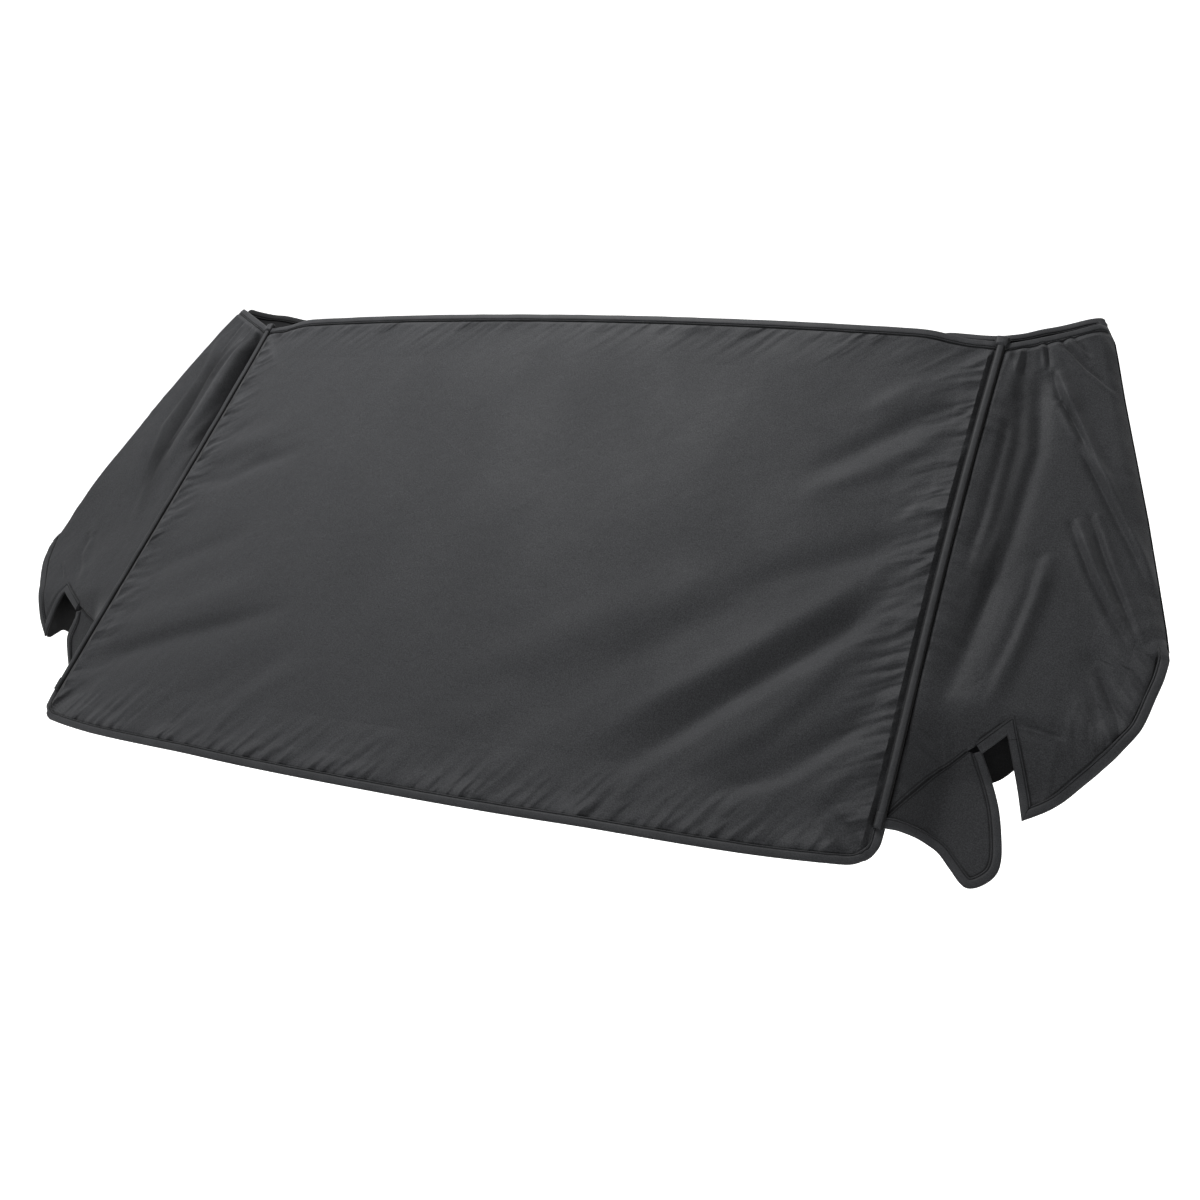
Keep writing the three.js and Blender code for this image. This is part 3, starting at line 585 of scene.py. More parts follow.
def front_edges(x, p):
    """What the cloth's material needs to know at each point of the front panel: the distance from
    the nearest edge, the place along it, the strength of its puckers, the distances that set the
    painted shade beside the piping and the tapes and at the join of a tongue, and how much painted shadow a
    fold takes."""
    from_side = seam_point(p)[..., 0] - np.abs(x)
    from_bottom = foot_row(x, PILLAR_LENGTH) - p
    side_along = p - PILLAR_LEAN * np.sign(x) * from_side + PUCKER_STRETCH * np.sign(x)
    edges = np.stack([from_side, from_bottom, p + PANEL_TOP_LEAD])
    places = np.stack([side_along, x - FOOT_LEAN * from_bottom, x + TOP_LEAN * p + 3 * PUCKER_STRETCH])
    distance, place, which = nearest_edge(edges, places)
    return {
        "edge_mm": distance,
        "along_mm": place,
        "pucker": clear_of_others(edges) * PANEL_PUCKERS[which],
        "seam_mm": PANEL_SHADE_SQUEEZE * from_side,
        "tape_mm": np.minimum(p, from_bottom),
        "join_mm": np.full(np.shape(x), FAR_AWAY),
        "hollow": np.zeros(np.shape(x)),
    }


def painted_shadow_of_folds(p, q, hollows):
    """How much painted shadow darkens the deep folds of a wing, from 0 to 1."""
    dark = np.zeros(np.shape(p))
    for width, strength, line in hollows:
        distance, along = nearest_on(p, q, line)
        reached = along / line_lengths(line)[-1]
        taper = smoothstep(reached, -0.02, 0.15) * (1 - smoothstep(reached, 0.55, 1))
        dark = np.maximum(dark, strength * taper * np.exp(-((distance / width) ** 2)))
    return dark


def gathered(side, p, q):
    """Distance down from a wing's top edge, and the place on that edge that a gather comes from."""
    rear_p, rear_q = side["rear"][0]
    down = p - rear_p / rear_q * q
    spread = GATHER_SPREAD * np.maximum(down, 0)
    return down, (q + GATHER_CENTRE * spread) / (1 + spread)


def notch_line(side):
    return [side["notch_start"], side["notch_apex"], side["hem"][0]]


def wing_edges(side, p, q):
    """The same for a wing."""
    down, source = gathered(side, p, q)
    hem_distance, hem_along = nearest_on(p, q, side["hem"])
    notch_distance, notch_along = nearest_on(p, q, notch_line(side))
    edges = np.stack([q + WING_SEAM_LEAD, down * WING_TOP_SHARE, hem_distance, notch_distance])
    places = np.stack([p - WING_SEAM_LEAN * q, source, hem_along - WING_HEM_LEAN * hem_distance, notch_along])
    places = places + PUCKER_STRETCH * np.arange(4).reshape(4, *[1] * np.ndim(p))
    distance, place, which = nearest_edge(edges, places)
    return {
        "edge_mm": distance,
        "along_mm": place,
        "pucker": clear_of_others(edges) * np.array(list(side["puckers"].values()))[which],
        "seam_mm": q,
        "tape_mm": np.minimum(np.minimum(down, beside(p, q, side["hem"])), notch_distance),
        "join_mm": nearest_on(p, q, seam_foot(side))[0],
        "hollow": painted_shadow_of_folds(p, q, side["hollows"]),
    }


def tongue_edges(side, p, q):
    """The same for a tongue, which lies without puckers."""
    rim_distance, rim_along = nearest_on(p, q, [TONGUE_ROOT, *side["tongue"]])
    return {
        "edge_mm": rim_distance,
        "along_mm": rim_along,
        "pucker": np.zeros(np.shape(p)),
        "seam_mm": q,
        "tape_mm": rim_distance,
        "join_mm": nearest_on(p, q, seam_foot(side))[0],
        "hollow": np.zeros(np.shape(p)),
    }


def flap_edges(side, p, q):
    """The same for a door flap, whose only finished edge is its top."""
    top_distance, top_along = nearest_on(p, q, side["flap_top"])
    far = np.full(np.shape(p), FAR_AWAY)
    none = np.zeros(np.shape(p))
    return {
        "edge_mm": top_distance, "along_mm": top_along, "pucker": none, "seam_mm": far,
        "tape_mm": top_distance, "join_mm": far, "hollow": none,
    }


def shoulder(u, p):
    """Lift of the panel beside its top corners, u being 1 at the seam."""
    rise = smoothstep(1 - u, SHOULDER_START, SHOULDER_END)
    return SHOULDER_LIFT * np.exp(-np.maximum(p, 0) / SHOULDER_DEPTH) * u ** SHOULDER_POWER * rise


def front_point(x, p):
    """Draped front panel."""
    t = p / PILLAR_LENGTH
    seam = seam_point(p)
    u = np.abs(x) / seam[..., 0]
    bow = blend(TOP_BOW, BOTTOM_BOW, t) * (1 - u ** BOW_POWER)
    arch = TOP_ARCH * (1 - t) * (1 - u ** ARCH_POWER) + shoulder(u, p)
    base = np.stack([x, seam[..., 1] - bow, seam[..., 2] + arch], -1)
    return base + front_relief(x, p)[..., None] * RAKE_OUT


def rear_edge(side, p):
    """Rear edge of a wing as q for a given p."""
    rows = np.array(side["rear"], float)
    last = rows[-1] + (rows[-1] - rows[-2]) * 10
    first = rows[0] - (rows[1] - rows[0])
    rows = np.vstack([first, rows[:-1], last])
    return np.interp(p, rows[:, 0], rows[:, 1])


def wing_fall(side, p, q):
    """How far a wing falls away behind the plane of the panel."""
    slope = blend(side["upper_fall"], WING_FALL, smoothstep(p, FALL_EVEN_START, FALL_EVEN_END))
    curl = HEM_CURL * smoothstep(p, HEM_CURL_START, HEM_CURL_START + HEM_CURL_LENGTH)
    return slope * q + curl * smoothstep(q, 0, HEM_CURL_SPREAD)


def mirrored(points, side):
    return points * np.array([side["sign"], 1, 1])


def wing_relief(side, p, q):
    """Height of a wing's folds, creases and puckers."""
    fold_fade, seam_fade = smoothstep(q, *WING_FOLD_FADE), smoothstep(q, *WING_SEAM_FADE)
    height = fold_fade * fold_height(p, q, side["folds"]) + groove(q)
    height += seam_fade * fold_height(p, q, side["deep_folds"])
    height += side["crease_scale"] * seam_fade * crease_height(p, q, side["creases"])
    down, source = gathered(side, p, q)
    height += seam_fade * puckers("wing_top", down, down, source)
    hem_distance, hem_along = nearest_on(p, q, side["hem"])
    lean = hem_along - WING_HEM_LEAN * hem_distance
    height += side["puckers"]["hem"] * puckers("wing_hem", hem_distance, lean, hem_distance)
    taped = np.minimum(beside(p, q, side["hem"]), nearest_on(p, q, notch_line(side))[0])
    height += tape_dip(down) + tape_dip(taped)
    from_rim = rear_edge(side, p) - q
    height += puckers("rim", from_rim, p, from_rim)
    seam_distance, _ = nearest_on(p, q, side["wing_foot"])
    height -= SEAM_DIP * np.exp(-(seam_distance / SEAM_DIP_WIDTH) ** 2)
    return height + fold_fade * WING_DRIFT * wing_drift(p, q)


def wing_point(side, p, q):
    """Draped wing and tongue."""
    from_rim = rear_edge(side, p) - q
    roll = RIM_ROLL_DEPTH * np.maximum(0, 1 - np.maximum(0, from_rim) / RIM_ROLL_WIDTH) ** 2
    upper = 1 - smoothstep(p, ROLL_FADE_START, ROLL_FADE_END)
    height = wing_relief(side, p, q) - wing_fall(side, p, q) - roll * upper
    swing = math.radians(side["swing"]) * smoothstep(p, SWING_START, SWING_END)
    curled = side["curl"] * smoothstep(q, CURL_NEAR, CURL_FAR)
    beyond = np.maximum(0, p - CURL_START)
    turn = beyond / CURL_RADIUS
    inward = q * np.sin(swing) + curled * CURL_RADIUS * (1 - np.cos(turn))
    down = top_sag(side, p, q) + curled * (CURL_RADIUS * np.sin(turn) - beyond)
    points = seam_point(p) + (q * np.cos(swing))[..., None] * ACROSS
    points += (height - inward)[..., None] * RAKE_OUT + down[..., None] * RAKE_DOWN
    return mirrored(points, side)


def top_sag(side, p, q):
    """How far the top edge of a wing hangs down between the seam and the rear corner."""
    s = np.sqrt(np.clip(q / TOP_SAG_SPAN, 0, 1))
    return side["top_sag"] * 4 * s * (1 - s) * (1 - smoothstep(p, TOP_SAG_START, TOP_SAG_END))


def flap_point(side, p, q):
    """Door flap, behind the wing and, for negative q, behind the front panel."""
    from_rim = np.maximum(0, rear_edge(side, p) - q)
    gap = blend(RIM_ROLL_DEPTH + RIM_SEAM, FLAP_GAP, smoothstep(from_rim, 0, FLAP_GAP_SPREAD))
    gap = gap + FLAP_TOP_GAP * (1 - smoothstep(p, FLAP_TOP_GAP_START, FLAP_TOP_GAP_END))
    fall = np.where(q > 0, wing_fall(side, p, q), FLAP_INNER_SLOPE * q)
    height = FLAP_DRIFT * flap_drift(p, q) - fall - gap
    points = seam_point(p) + np.asarray(q, float)[..., None] * ACROSS + height[..., None] * RAKE_OUT
    return mirrored(points, side)


def seam_strip_point(side, p, q):
    """The line of a pillar seam, with the slope of the wing beside it."""
    q = np.asarray(q, float)[..., None]
    return mirrored(seam_point(p) + q * ACROSS - WING_FALL * q * RAKE_OUT, side)


class Surface:
    """A draped surface: its points for pattern points, and the sign that turns normals outward."""

    def __init__(self, point, turn, side=None):
        self.point = point
        self.turn = turn
        self.side = side

    def __call__(self, a, b):
        return self.point(a, b) if self.side is None else self.point(self.side, a, b)

    def normals(self, a, b):
        step = 1.5
        along_a = self(a + step, b) - self(a - step, b)
        along_b = self(a, b + step) - self(a, b - step)
        normal = self.turn * np.cross(along_a, along_b)
        return normal / np.linalg.norm(normal, axis=-1, keepdims=True)


def on_side(point, side):
    return Surface(point, side["sign"], side)


FRONT = Surface(front_point, -1)


# Paths and patches in pattern coordinates

def straight(start, end, count):
    """count steps from start to end."""
    t = np.linspace(0, 1, count + 1)[:, None]
    return (1 - t) * np.asarray(start, float) + t * np.asarray(end, float)


def curve_through(rows, count, bias=1.0):
    """count steps, even in length, along the Catmull-Rom curve through the rows of a table."""
    rows = np.asarray(rows, float)
    fine = []
    for k in range(len(rows) - 1):
        p0, p1 = rows[max(0, k - 1)], rows[k]
        p2, p3 = rows[k + 1], rows[min(len(rows) - 1, k + 2)]
        t = np.linspace(0, 1, 40, endpoint=False)[:, None]
        v0, v1 = (p2 - p0) / 2, (p3 - p1) / 2
        cubic, square = 2 * p1 - 2 * p2 + v0 + v1, -3 * p1 + 3 * p2 - 2 * v0 - v1
        fine.append(cubic * t ** 3 + square * t ** 2 + v0 * t + p1)
    fine = np.vstack([*fine, rows[-1:]])
    return resampled(fine, count, bias)


def at_runs(path, lengths, wanted):
    """Points of an outline at some runs along it."""
    return np.stack([np.interp(wanted, lengths, path[:, k]) for k in range(path.shape[1])], -1)


def resampled(path, count, bias=1.0):
    """count steps along an outline, even in length or, with a bias, growing."""
    lengths = line_lengths(path)
    return at_runs(path, lengths, np.linspace(0, 1, count + 1) ** bias * lengths[-1])


def mitres(path, inward):
    """Mitre directions of an outline, pointing to its inner side and stretched at its corners."""
    steps = np.diff(path, axis=0)
    steps /= np.hypot(steps[:, 0], steps[:, 1])[:, None]
    first = np.vstack([steps[:1], steps])
    second = np.vstack([steps, steps[-1:]])
    normal = np.stack([-(first[:, 1] + second[:, 1]), first[:, 0] + second[:, 0]], -1)
    normal /= np.hypot(normal[:, 0], normal[:, 1])[:, None]
    across = normal[:, 0] * -first[:, 1] + normal[:, 1] * first[:, 0]
    return inward * normal / np.maximum(MITRE_STRETCH_LIMIT, across)[:, None]


def inset(path, inward, distance):
    return path + mitres(path, inward) * distance


def patch(top, bottom, left, right):
    """Coons patch: top and bottom run along i, left and right along j."""
    s = np.linspace(0, 1, len(top))[:, None, None]
    t = np.linspace(0, 1, len(left))[None, :, None]
    across = (1 - t) * top[:, None] + t * bottom[:, None]
    down = (1 - s) * left[None] + s * right[None]
    corners = (1 - t) * ((1 - s) * top[0] + s * top[-1]) + t * ((1 - s) * bottom[0] + s * bottom[-1])
    return across + down - corners


# Meshes

def new_object(name, vertices, faces, materials, face_materials=None, attributes=None):
    """Closed mesh with its faces turned outward, smooth except over sharp angles."""
    mesh = bpy.data.meshes.new(name)
    mesh.from_pydata((vertices * MM).tolist(), [], faces)
    for material in materials:
        mesh.materials.append(material)
    if face_materials is not None:
        mesh.polygons.foreach_set("material_index", face_materials)
    for key, values in (attributes or {}).items():
        layer = mesh.attributes.new(key, "FLOAT", "POINT")
        layer.data.foreach_set("value", np.asarray(values, np.float32).ravel())
    mesh.validate()
    if signed_volume(mesh) < 0:
        mesh.flip_normals()
    mesh.shade_smooth()
    mesh.set_sharp_from_angle(angle=SHARP_ANGLE)
    obj = bpy.data.objects.new(name, mesh)
    bpy.context.scene.collection.objects.link(obj)
    return obj


def signed_volume(mesh):
    mesh.calc_loop_triangles()
    points = np.empty(len(mesh.vertices) * 3)
    mesh.vertices.foreach_get("co", points)
    points = points.reshape(-1, 3)
    corners = np.empty(len(mesh.loop_triangles) * 3, int)
    mesh.loop_triangles.foreach_get("vertices", corners)
    a, b, c = (points[corners[k::3]] for k in range(3))
    return float(np.einsum("ij,ij->", a, np.cross(b, c)))


def finish_piece(obj, node):
    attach(obj, "root")
    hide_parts(node)
    return obj


def sheet_mesh(name, grids, surface, materials, edges_of):
    """Cloth with its thickness, from grids of pattern points that share their border points."""
    welded, vertices_ab, quads = {}, [], []
    for grid in grids:
        ids = np.empty(grid.shape[:2], int)
        for i, row in enumerate(np.round(grid, 4).tolist()):
            for j, point in enumerate(row):
                key = (point[0], point[1])
                if key not in welded:
                    welded[key] = len(vertices_ab)
                    vertices_ab.append(key)
                ids[i, j] = welded[key]
        a, b, c, d = ids[:-1, :-1], ids[1:, :-1], ids[1:, 1:], ids[:-1, 1:]
        quads.append(np.stack([a, b, c, d], -1).reshape(-1, 4))
    quads = np.vstack(quads)
    ab = np.array(vertices_ab)
    middle = surface(ab[:, 0], ab[:, 1])
    normal = surface.normals(ab[:, 0], ab[:, 1])
    count = len(ab)
    vertices = np.vstack([middle + normal * SHEET / 2, middle - normal * SHEET / 2])
    edges = np.concatenate([quads[:, [k, (k + 1) % 4]] for k in range(4)])
    present = set(map(tuple, edges.tolist()))
    border = [(a, b) for a, b in present if (b, a) not in present]
    faces = [tuple(dict.fromkeys(q)) for q in quads.tolist()]
    faces = [f for f in faces if len(f) > 2]
    back = [tuple(k + count for k in reversed(f)) for f in faces]
    walls = [(b, a, a + count, b + count) for a, b in border]
    attributes = {key: np.tile(values, 2) for key, values in edges_of(ab[:, 0], ab[:, 1]).items()}
    return new_object(name, vertices, faces + back + walls, materials, attributes=attributes)


def domed_section(low, high, top, bottom, shoulder_height):
    """Section of a piping: flat below, with straight sides and a domed top."""
    angles = np.linspace(math.pi, 0, 15)
    middle, half = (low + high) / 2, (high - low) / 2
    rise = top - shoulder_height
    dome = [(middle + half * math.cos(a), shoulder_height + rise * math.sin(a) ** 0.75) for a in angles]
    return np.array([(low, -bottom), *dome, (high, -bottom)])


# Sections as distances across from the outer edge of a tape, or from the line of a pillar seam,
# and heights above the cloth's mid-surface. The folded tape dips at its row of stitches.
BINDING_SECTION = np.array([
    (0, 0.1), (0.35, 1.6), (1.3, 2.8), (2.6, 3.2), (4.0, 3.4), (6.0, 3.5), (8.5, 3.5), (10.4, 3.3),
    (11.3, 2.7), (12.0, 1.8), (12.7, 2.5), (13.5, 3.0), (14.4, 2.6), (BINDING_WIDTH, 1.2),
    (BINDING_WIDTH, -1.7), (14.4, -2.2), (12, -2.6), (7.5, -2.7), (2, -2.2), (0.4, -1.3),
])
PIPING_SECTION = domed_section(-6.3, 6.1, 5.2, 2.8, 0.4)
TAPE_SECTION = domed_section(-9.6, 8.6, 8.0, 2.6, 1.6)
TAB_SECTION = domed_section(-7.0, 6.4, 6.6, 2.6, 1.0)


def with_fine_ends(path, reach):
    """The outline with extra points near both ends, for their rounding."""
    lengths = line_lengths(path)
    extra = reach * np.array([0.06, 0.2, 0.45, 0.75, 1.0])
    return at_runs(path, lengths, np.unique(np.concatenate([lengths, extra, lengths[-1] - extra])))


def end_rounding(run, radius):
    """How full the section is at a run from a rounded end: 0 at the tip and 1 past the radius."""
    if radius == 0:
        return np.ones_like(run)
    return np.sqrt(np.maximum(1 - (1 - np.clip(run / radius, 0, 1)) ** 2, 0.02))


def strip_rings(
    path, inward, surface, section, waves, cut_start=None, cut_end=None, round_start=0, round_end=0,
    thin_end=0, flare=1,
):
    """Rings of a strip: its section carried along an outline in pattern coordinates.
    cut_start and cut_end are mitres, as millimetres along the outline for each one across it.
    round_start and round_end are the radii that the ends are rounded with, thin_end is the run over
    which the strip gets thinner to its end, and flare is how many times wider its start is."""
    if round_start or round_end:
        path = with_fine_ends(path, max(round_start, round_end))
    directions = mitres(path, inward)
    lengths = line_lengths(path)
    full_start = end_rounding(lengths, round_start)[:, None]
    full_end = end_rounding(lengths[-1] - lengths, round_end)[:, None]
    narrowing = round_start * (1 - full_start) + round_end * (1 - full_end)
    low, high = section[:, 0].min(), section[:, 0].max()
    l = np.repeat(section[None, :, 0], len(path), 0)
    l = np.clip(l, low + narrowing, high - narrowing)
    l = l * blend(flare, 1, smoothstep(lengths, 0, lengths[-1]))[:, None]
    if cut_start is not None:
        l = np.minimum(l, np.maximum(lengths[:, None] - MITRE_GAP, 0.02) / cut_start)
    if cut_end is not None:
        l = np.minimum(l, np.maximum(lengths[-1] - lengths[:, None] - MITRE_GAP, 0.02) / cut_end)
    ab = path[:, None] + directions[:, None] * l[..., None]
    a, b = ab[..., 0], ab[..., 1]
    normal = surface.normals(a, b)
    lengths = lengths[:, None] + np.zeros_like(l)
    raised = np.where(section[None, :, 1] > 0, waves * tape_waves(lengths, l), 0)
    thin = end_rounding(lengths[-1:, :1] - lengths[:, :1], thin_end)
    height = (section[None, :, 1] + raised) * full_start * full_end * thin
    fold = (l - low) / (high - low)
    return surface(a, b) + normal * height[..., None], lengths, fold


def strip_mesh(name, strips, materials, stitch_rows=()):
    """Strips as one mesh, with rows of stitches on them. Each stitch row is a place across."""
    vertices, faces, kinds, along, across = [], [], [], [], []
    count = 0
    for rings, lengths, fold in strips:
        rows, columns = rings.shape[:2]
        ids = np.arange(rows * columns).reshape(rows, columns) + count
        turned = np.roll(ids, -1, axis=1)
        quads = np.stack([ids[:-1], turned[:-1], turned[1:], ids[1:]], -1).reshape(-1, 4)
        faces += quads.tolist() + [ids[0][::-1].tolist(), ids[-1].tolist()]
        kinds += [0] * (len(quads) + 2)
        vertices.append(rings.reshape(-1, 3))
        along.append(lengths.ravel())
        across.append(fold.ravel())
        count += rows * columns
        for place in stitch_rows:
            stitches, stitch_faces = stitch_row(rings, lengths[:, 0], place, count)
            vertices.append(stitches)
            faces += stitch_faces
            kinds += [1] * len(stitch_faces)
            along.append(np.zeros(len(stitches)))
            across.append(np.zeros(len(stitches)))
            count += len(stitches)
    attributes = {"along_mm": np.concatenate(along), "across": np.concatenate(across)}
    return new_object(name, np.vstack(vertices), faces, materials, kinds, attributes)


def stitch_row(rings, lengths, column, first):
    """Row of stitches along one line of a strip's rings: each a small six-pointed lozenge."""
    count = int(lengths[-1] // STITCH_PITCH)
    starts = (np.arange(count) + 0.5) * STITCH_PITCH
    head, tail = (at_runs(rings[:, column], lengths, run) for run in (starts, starts + STITCH_LENGTH))
    middle = (head + tail) / 2
    across = rings[:, column + 1] - rings[:, column - 1]
    side = at_runs(across, lengths, starts + STITCH_LENGTH / 2)
    side /= np.linalg.norm(side, axis=1, keepdims=True) + 1e-9
    up = np.cross(tail - head, side)
    up /= np.linalg.norm(up, axis=1, keepdims=True) + 1e-9
    up *= np.sign(up @ RAKE_OUT)[:, None]
    head, tail = head + STITCH_LIFT * up, tail + STITCH_LIFT * up
    half, rise = STITCH_HALF * side, STITCH_PROUD * up
    points = np.stack([head, tail, middle + half, middle - half, middle + rise, middle - rise], 1)
    faces = []
    for k in range(count):
        h, t, r, l, u, d = (first + 6 * k + m for m in range(6))
        faces += [(h, r, u), (h, u, l), (h, l, d), (h, d, r), (t, u, r), (t, l, u), (t, d, l), (t, r, d)]
    return points.reshape(-1, 3), faces


# Materials

TINT = 0.045
FLECK_SCALE = 620
FLECK_SPREAD = (0.62, 1.42)
TAPE_FLECK_SCALE = 700
WEAVE_SCALE = 850
CLOTH_GLOSS = 0.09
RIB_PITCH = 1.1

# Bump heights in metres
PUCKER_BUMP = 0.028
SOFT_BUMP = 0.0034
CRUMPLE_BUMP = 0.0012
WEAVE_BUMP = 0.0003
TAPE_CRUMPLE_BUMP = 0.0010
RIB_BUMP = 0.0001

# Shades are places on a ramp and the tones there, its two ends first. Those here are painted shade in
# the grooves beside a piping and beside a tape, and the dark lines at the sewn join of a tongue, painted
# shade of its groove and its double stitching, by distances as shares of SHADE_REACH.
SEAM_PAINTED_SHADE = {
    "seam_mm": [(0.0, 0.2), (1.0, 1.0), (0.23, 0.2), (0.29, 1.0)],
    "tape_mm": [(0.0, 0.4), (1.0, 1.0), (0.50, 0.4), (0.58, 1.0)],
    "join_mm": [(0.0, 0.3), (1.0, 1.0), (0.03, 0.3), (0.06, 1.1), (0.10, 0.4), (0.14, 1.0)],
}
# Painted shadow in the deep folds of a wing, by how much shadow the fold takes
FOLD_SHADOW_TONES = [(0.0, 1.0), (1.0, 0.03), (0.5, 0.55), (0.75, 0.22)]
PUCKER_MASK = [(0.08, 0.0), (1.0, 0.0), (0.15, 1.0), (0.45, 0.4)]
PUCKER_STRENGTH = [(0.38, 0.3), (0.60, 1.0)]
BROAD_TONES = [(0.35, 0.95), (0.65, 1.0)]
CLOTH_ROUGHNESS = [(0.3, 0.74), (0.7, 0.62)]
WORN_TONES = [(0.35, 0.84), (0.65, 1.0)]
FLOOR_TONES = [(0.3, 0.86), (0.7, 0.88)]

# Painted shade across a tape, from its outer to its inner edge: darker at its edges and along its
# row of stitches, and for a corner knot and a piping darker at both flanks
TAPE_PAINTED_SHADE = [(0.0, 0.3), (1.0, 0.25), (0.12, 1.0), (0.72, 1.0), (0.78, 0.35), (0.85, 1.0), (0.94, 0.8)]
KNOT_PAINTED_SHADE = [(0.0, 0.3), (1.0, 0.3), (0.08, 1.0), (0.92, 1.0)]
PIPING_PAINTED_SHADE = [(0.0, 0.2), (1.0, 0.15), (0.10, 0.3), (0.22, 1.0), (0.74, 1.0), (0.88, 0.25)]


def grey(tone, tint):
    """A grey that is a little blue."""
    return (tone * (1 - tint), tone * (1 - tint / 2), tone * (1 + tint), 1)


class MaterialNodes:
    """A new material and short ways to add its nodes. Each method gives the node's output."""

    def __init__(self, name):
        self.material = bpy.data.materials.new(name)
        self.material.use_nodes = True
        self.tree = self.material.node_tree
        self.shader = self.tree.nodes["Principled BSDF"].inputs
        self.position = self.tree.nodes.new("ShaderNodeTexCoord").outputs["Object"]

    def feed(self, inputs, values):
        """Links inputs to the outputs of other nodes, or sets them to constants."""
        for key, value in values.items():
            if isinstance(value, bpy.types.NodeSocket):
                self.tree.links.new(value, inputs[key])
            else:
                inputs[key].default_value = value

    def attribute(self, name):
        node = self.tree.nodes.new("ShaderNodeAttribute")
        node.attribute_name = name
        return node.outputs["Fac"]

    def math(self, operation, *values):
        node = self.tree.nodes.new("ShaderNodeMath")
        node.operation = operation
        self.feed(node.inputs, dict(enumerate(values)))
        return node.outputs[0]

    def noise(self, scale, detail=2.0, roughness=0.5, place=None):
        node = self.tree.nodes.new("ShaderNodeTexNoise")
        self.feed(node.inputs, {
            "Vector": self.position if place is None else place,
            "Scale": scale, "Detail": detail, "Roughness": roughness,
        })
        return node.outputs["Fac"]

    def ramp(self, value, stops, tint=0.0):
        node = self.tree.nodes.new("ShaderNodeValToRGB")
        elements = node.color_ramp.elements
        for element, (place, tone) in zip(elements, stops[:2]):
            element.position, element.color = place, grey(tone, tint)
        for place, tone in stops[2:]:
            elements.new(place).color = grey(tone, tint)
        self.feed(node.inputs, {"Fac": value})
        return node.outputs["Color"]

    def product(self, first, second):
        node = self.tree.nodes.new("ShaderNodeMix")
        node.data_type = "RGBA"
        node.blend_type = "MULTIPLY"
        self.feed(node.inputs, {"Factor": 1.0, "A": first, "B": second})
        return node.outputs["Result"]

    def bumps(self, layers):
        """Bump nodes in a chain, each with its height, its distance in metres and its strength."""
        normal = None
        for height, distance, strength in layers:
            node = self.tree.nodes.new("ShaderNodeBump")
            self.feed(node.inputs, {"Height": height, "Distance": distance, "Strength": strength})
            if normal is not None:
                self.feed(node.inputs, {"Normal": normal})
            normal = node.outputs["Normal"]
        return normal


def pucker_height(nodes):
    """Short puckers that run in from the sewn edges, stronger in some places, from 0 to 1."""
    edge, along = nodes.attribute("edge_mm"), nodes.attribute("along_mm")
    field = nodes.tree.nodes.new("ShaderNodeCombineXYZ")
    nodes.feed(field.inputs, {
        "X": nodes.math("DIVIDE", along, PUCKER_PITCH), "Y": nodes.math("DIVIDE", edge, PUCKER_LENGTH),
    })
    place = field.outputs[0]
    height = nodes.noise(scale=1.0, detail=0.5, roughness=0.4, place=place)
    mask = nodes.ramp(nodes.math("DIVIDE", edge, PUCKER_REACH), PUCKER_MASK)
    strength = nodes.ramp(nodes.noise(scale=0.2, detail=1.0, place=place), PUCKER_STRENGTH)
    for factor in (mask, strength, nodes.attribute("pucker")):
        height = nodes.math("MULTIPLY", height, factor)
    return height


def weave_height(nodes):
    node = nodes.tree.nodes.new("ShaderNodeTexVoronoi")
    nodes.feed(node.inputs, {"Vector": nodes.position, "Scale": WEAVE_SCALE})
    return node.outputs["Distance"]


def cloth_material(name, tone, sheen, wrinkle):
    """Woven polyester: dark and light threads, a fine weave and small wrinkles, with painted shade beside
    pipings and tapes and painted shadow in deep folds.
    """
    nodes = MaterialNodes(name)
    dark, light = (tone * share for share in FLECK_SPREAD)
    flecks = nodes.noise(FLECK_SCALE, roughness=0.6)
    threads = nodes.ramp(flecks, [(0.30, dark), (0.70, light), (0.5, tone)], TINT)
    broad = nodes.noise(scale=7, detail=3.0)
    tones = nodes.product(threads, nodes.ramp(broad, BROAD_TONES))
    # Painted shade in the grooves beside pipings and tapes, and the dark lines of a tongue's sewn join
    for key, stops in SEAM_PAINTED_SHADE.items():
        distance = nodes.math("DIVIDE", nodes.attribute(key), SHADE_REACH)
        tones = nodes.product(tones, nodes.ramp(distance, stops))
    # Painted shadow in the deep folds: a darker base colour, and less specular and sheen there
    hollow = nodes.ramp(nodes.attribute("hollow"), FOLD_SHADOW_TONES)
    nodes.feed(nodes.shader, {
        "Base Color": nodes.product(tones, hollow),
        "Specular IOR Level": nodes.math("MULTIPLY", hollow, CLOTH_GLOSS),
        "Sheen Weight": nodes.math("MULTIPLY", hollow, sheen),
        "Sheen Roughness": 0.45,
        "Roughness": nodes.ramp(broad, CLOTH_ROUGHNESS),
        "Normal": nodes.bumps([
            (pucker_height(nodes), PUCKER_BUMP, 1.0),
            (nodes.noise(scale=15, detail=3.0), SOFT_BUMP, wrinkle),
            (nodes.noise(scale=38, detail=4.0, roughness=0.55), CRUMPLE_BUMP, wrinkle),
            (weave_height(nodes), WEAVE_BUMP, 0.35),
        ]),
    })
    return nodes.material


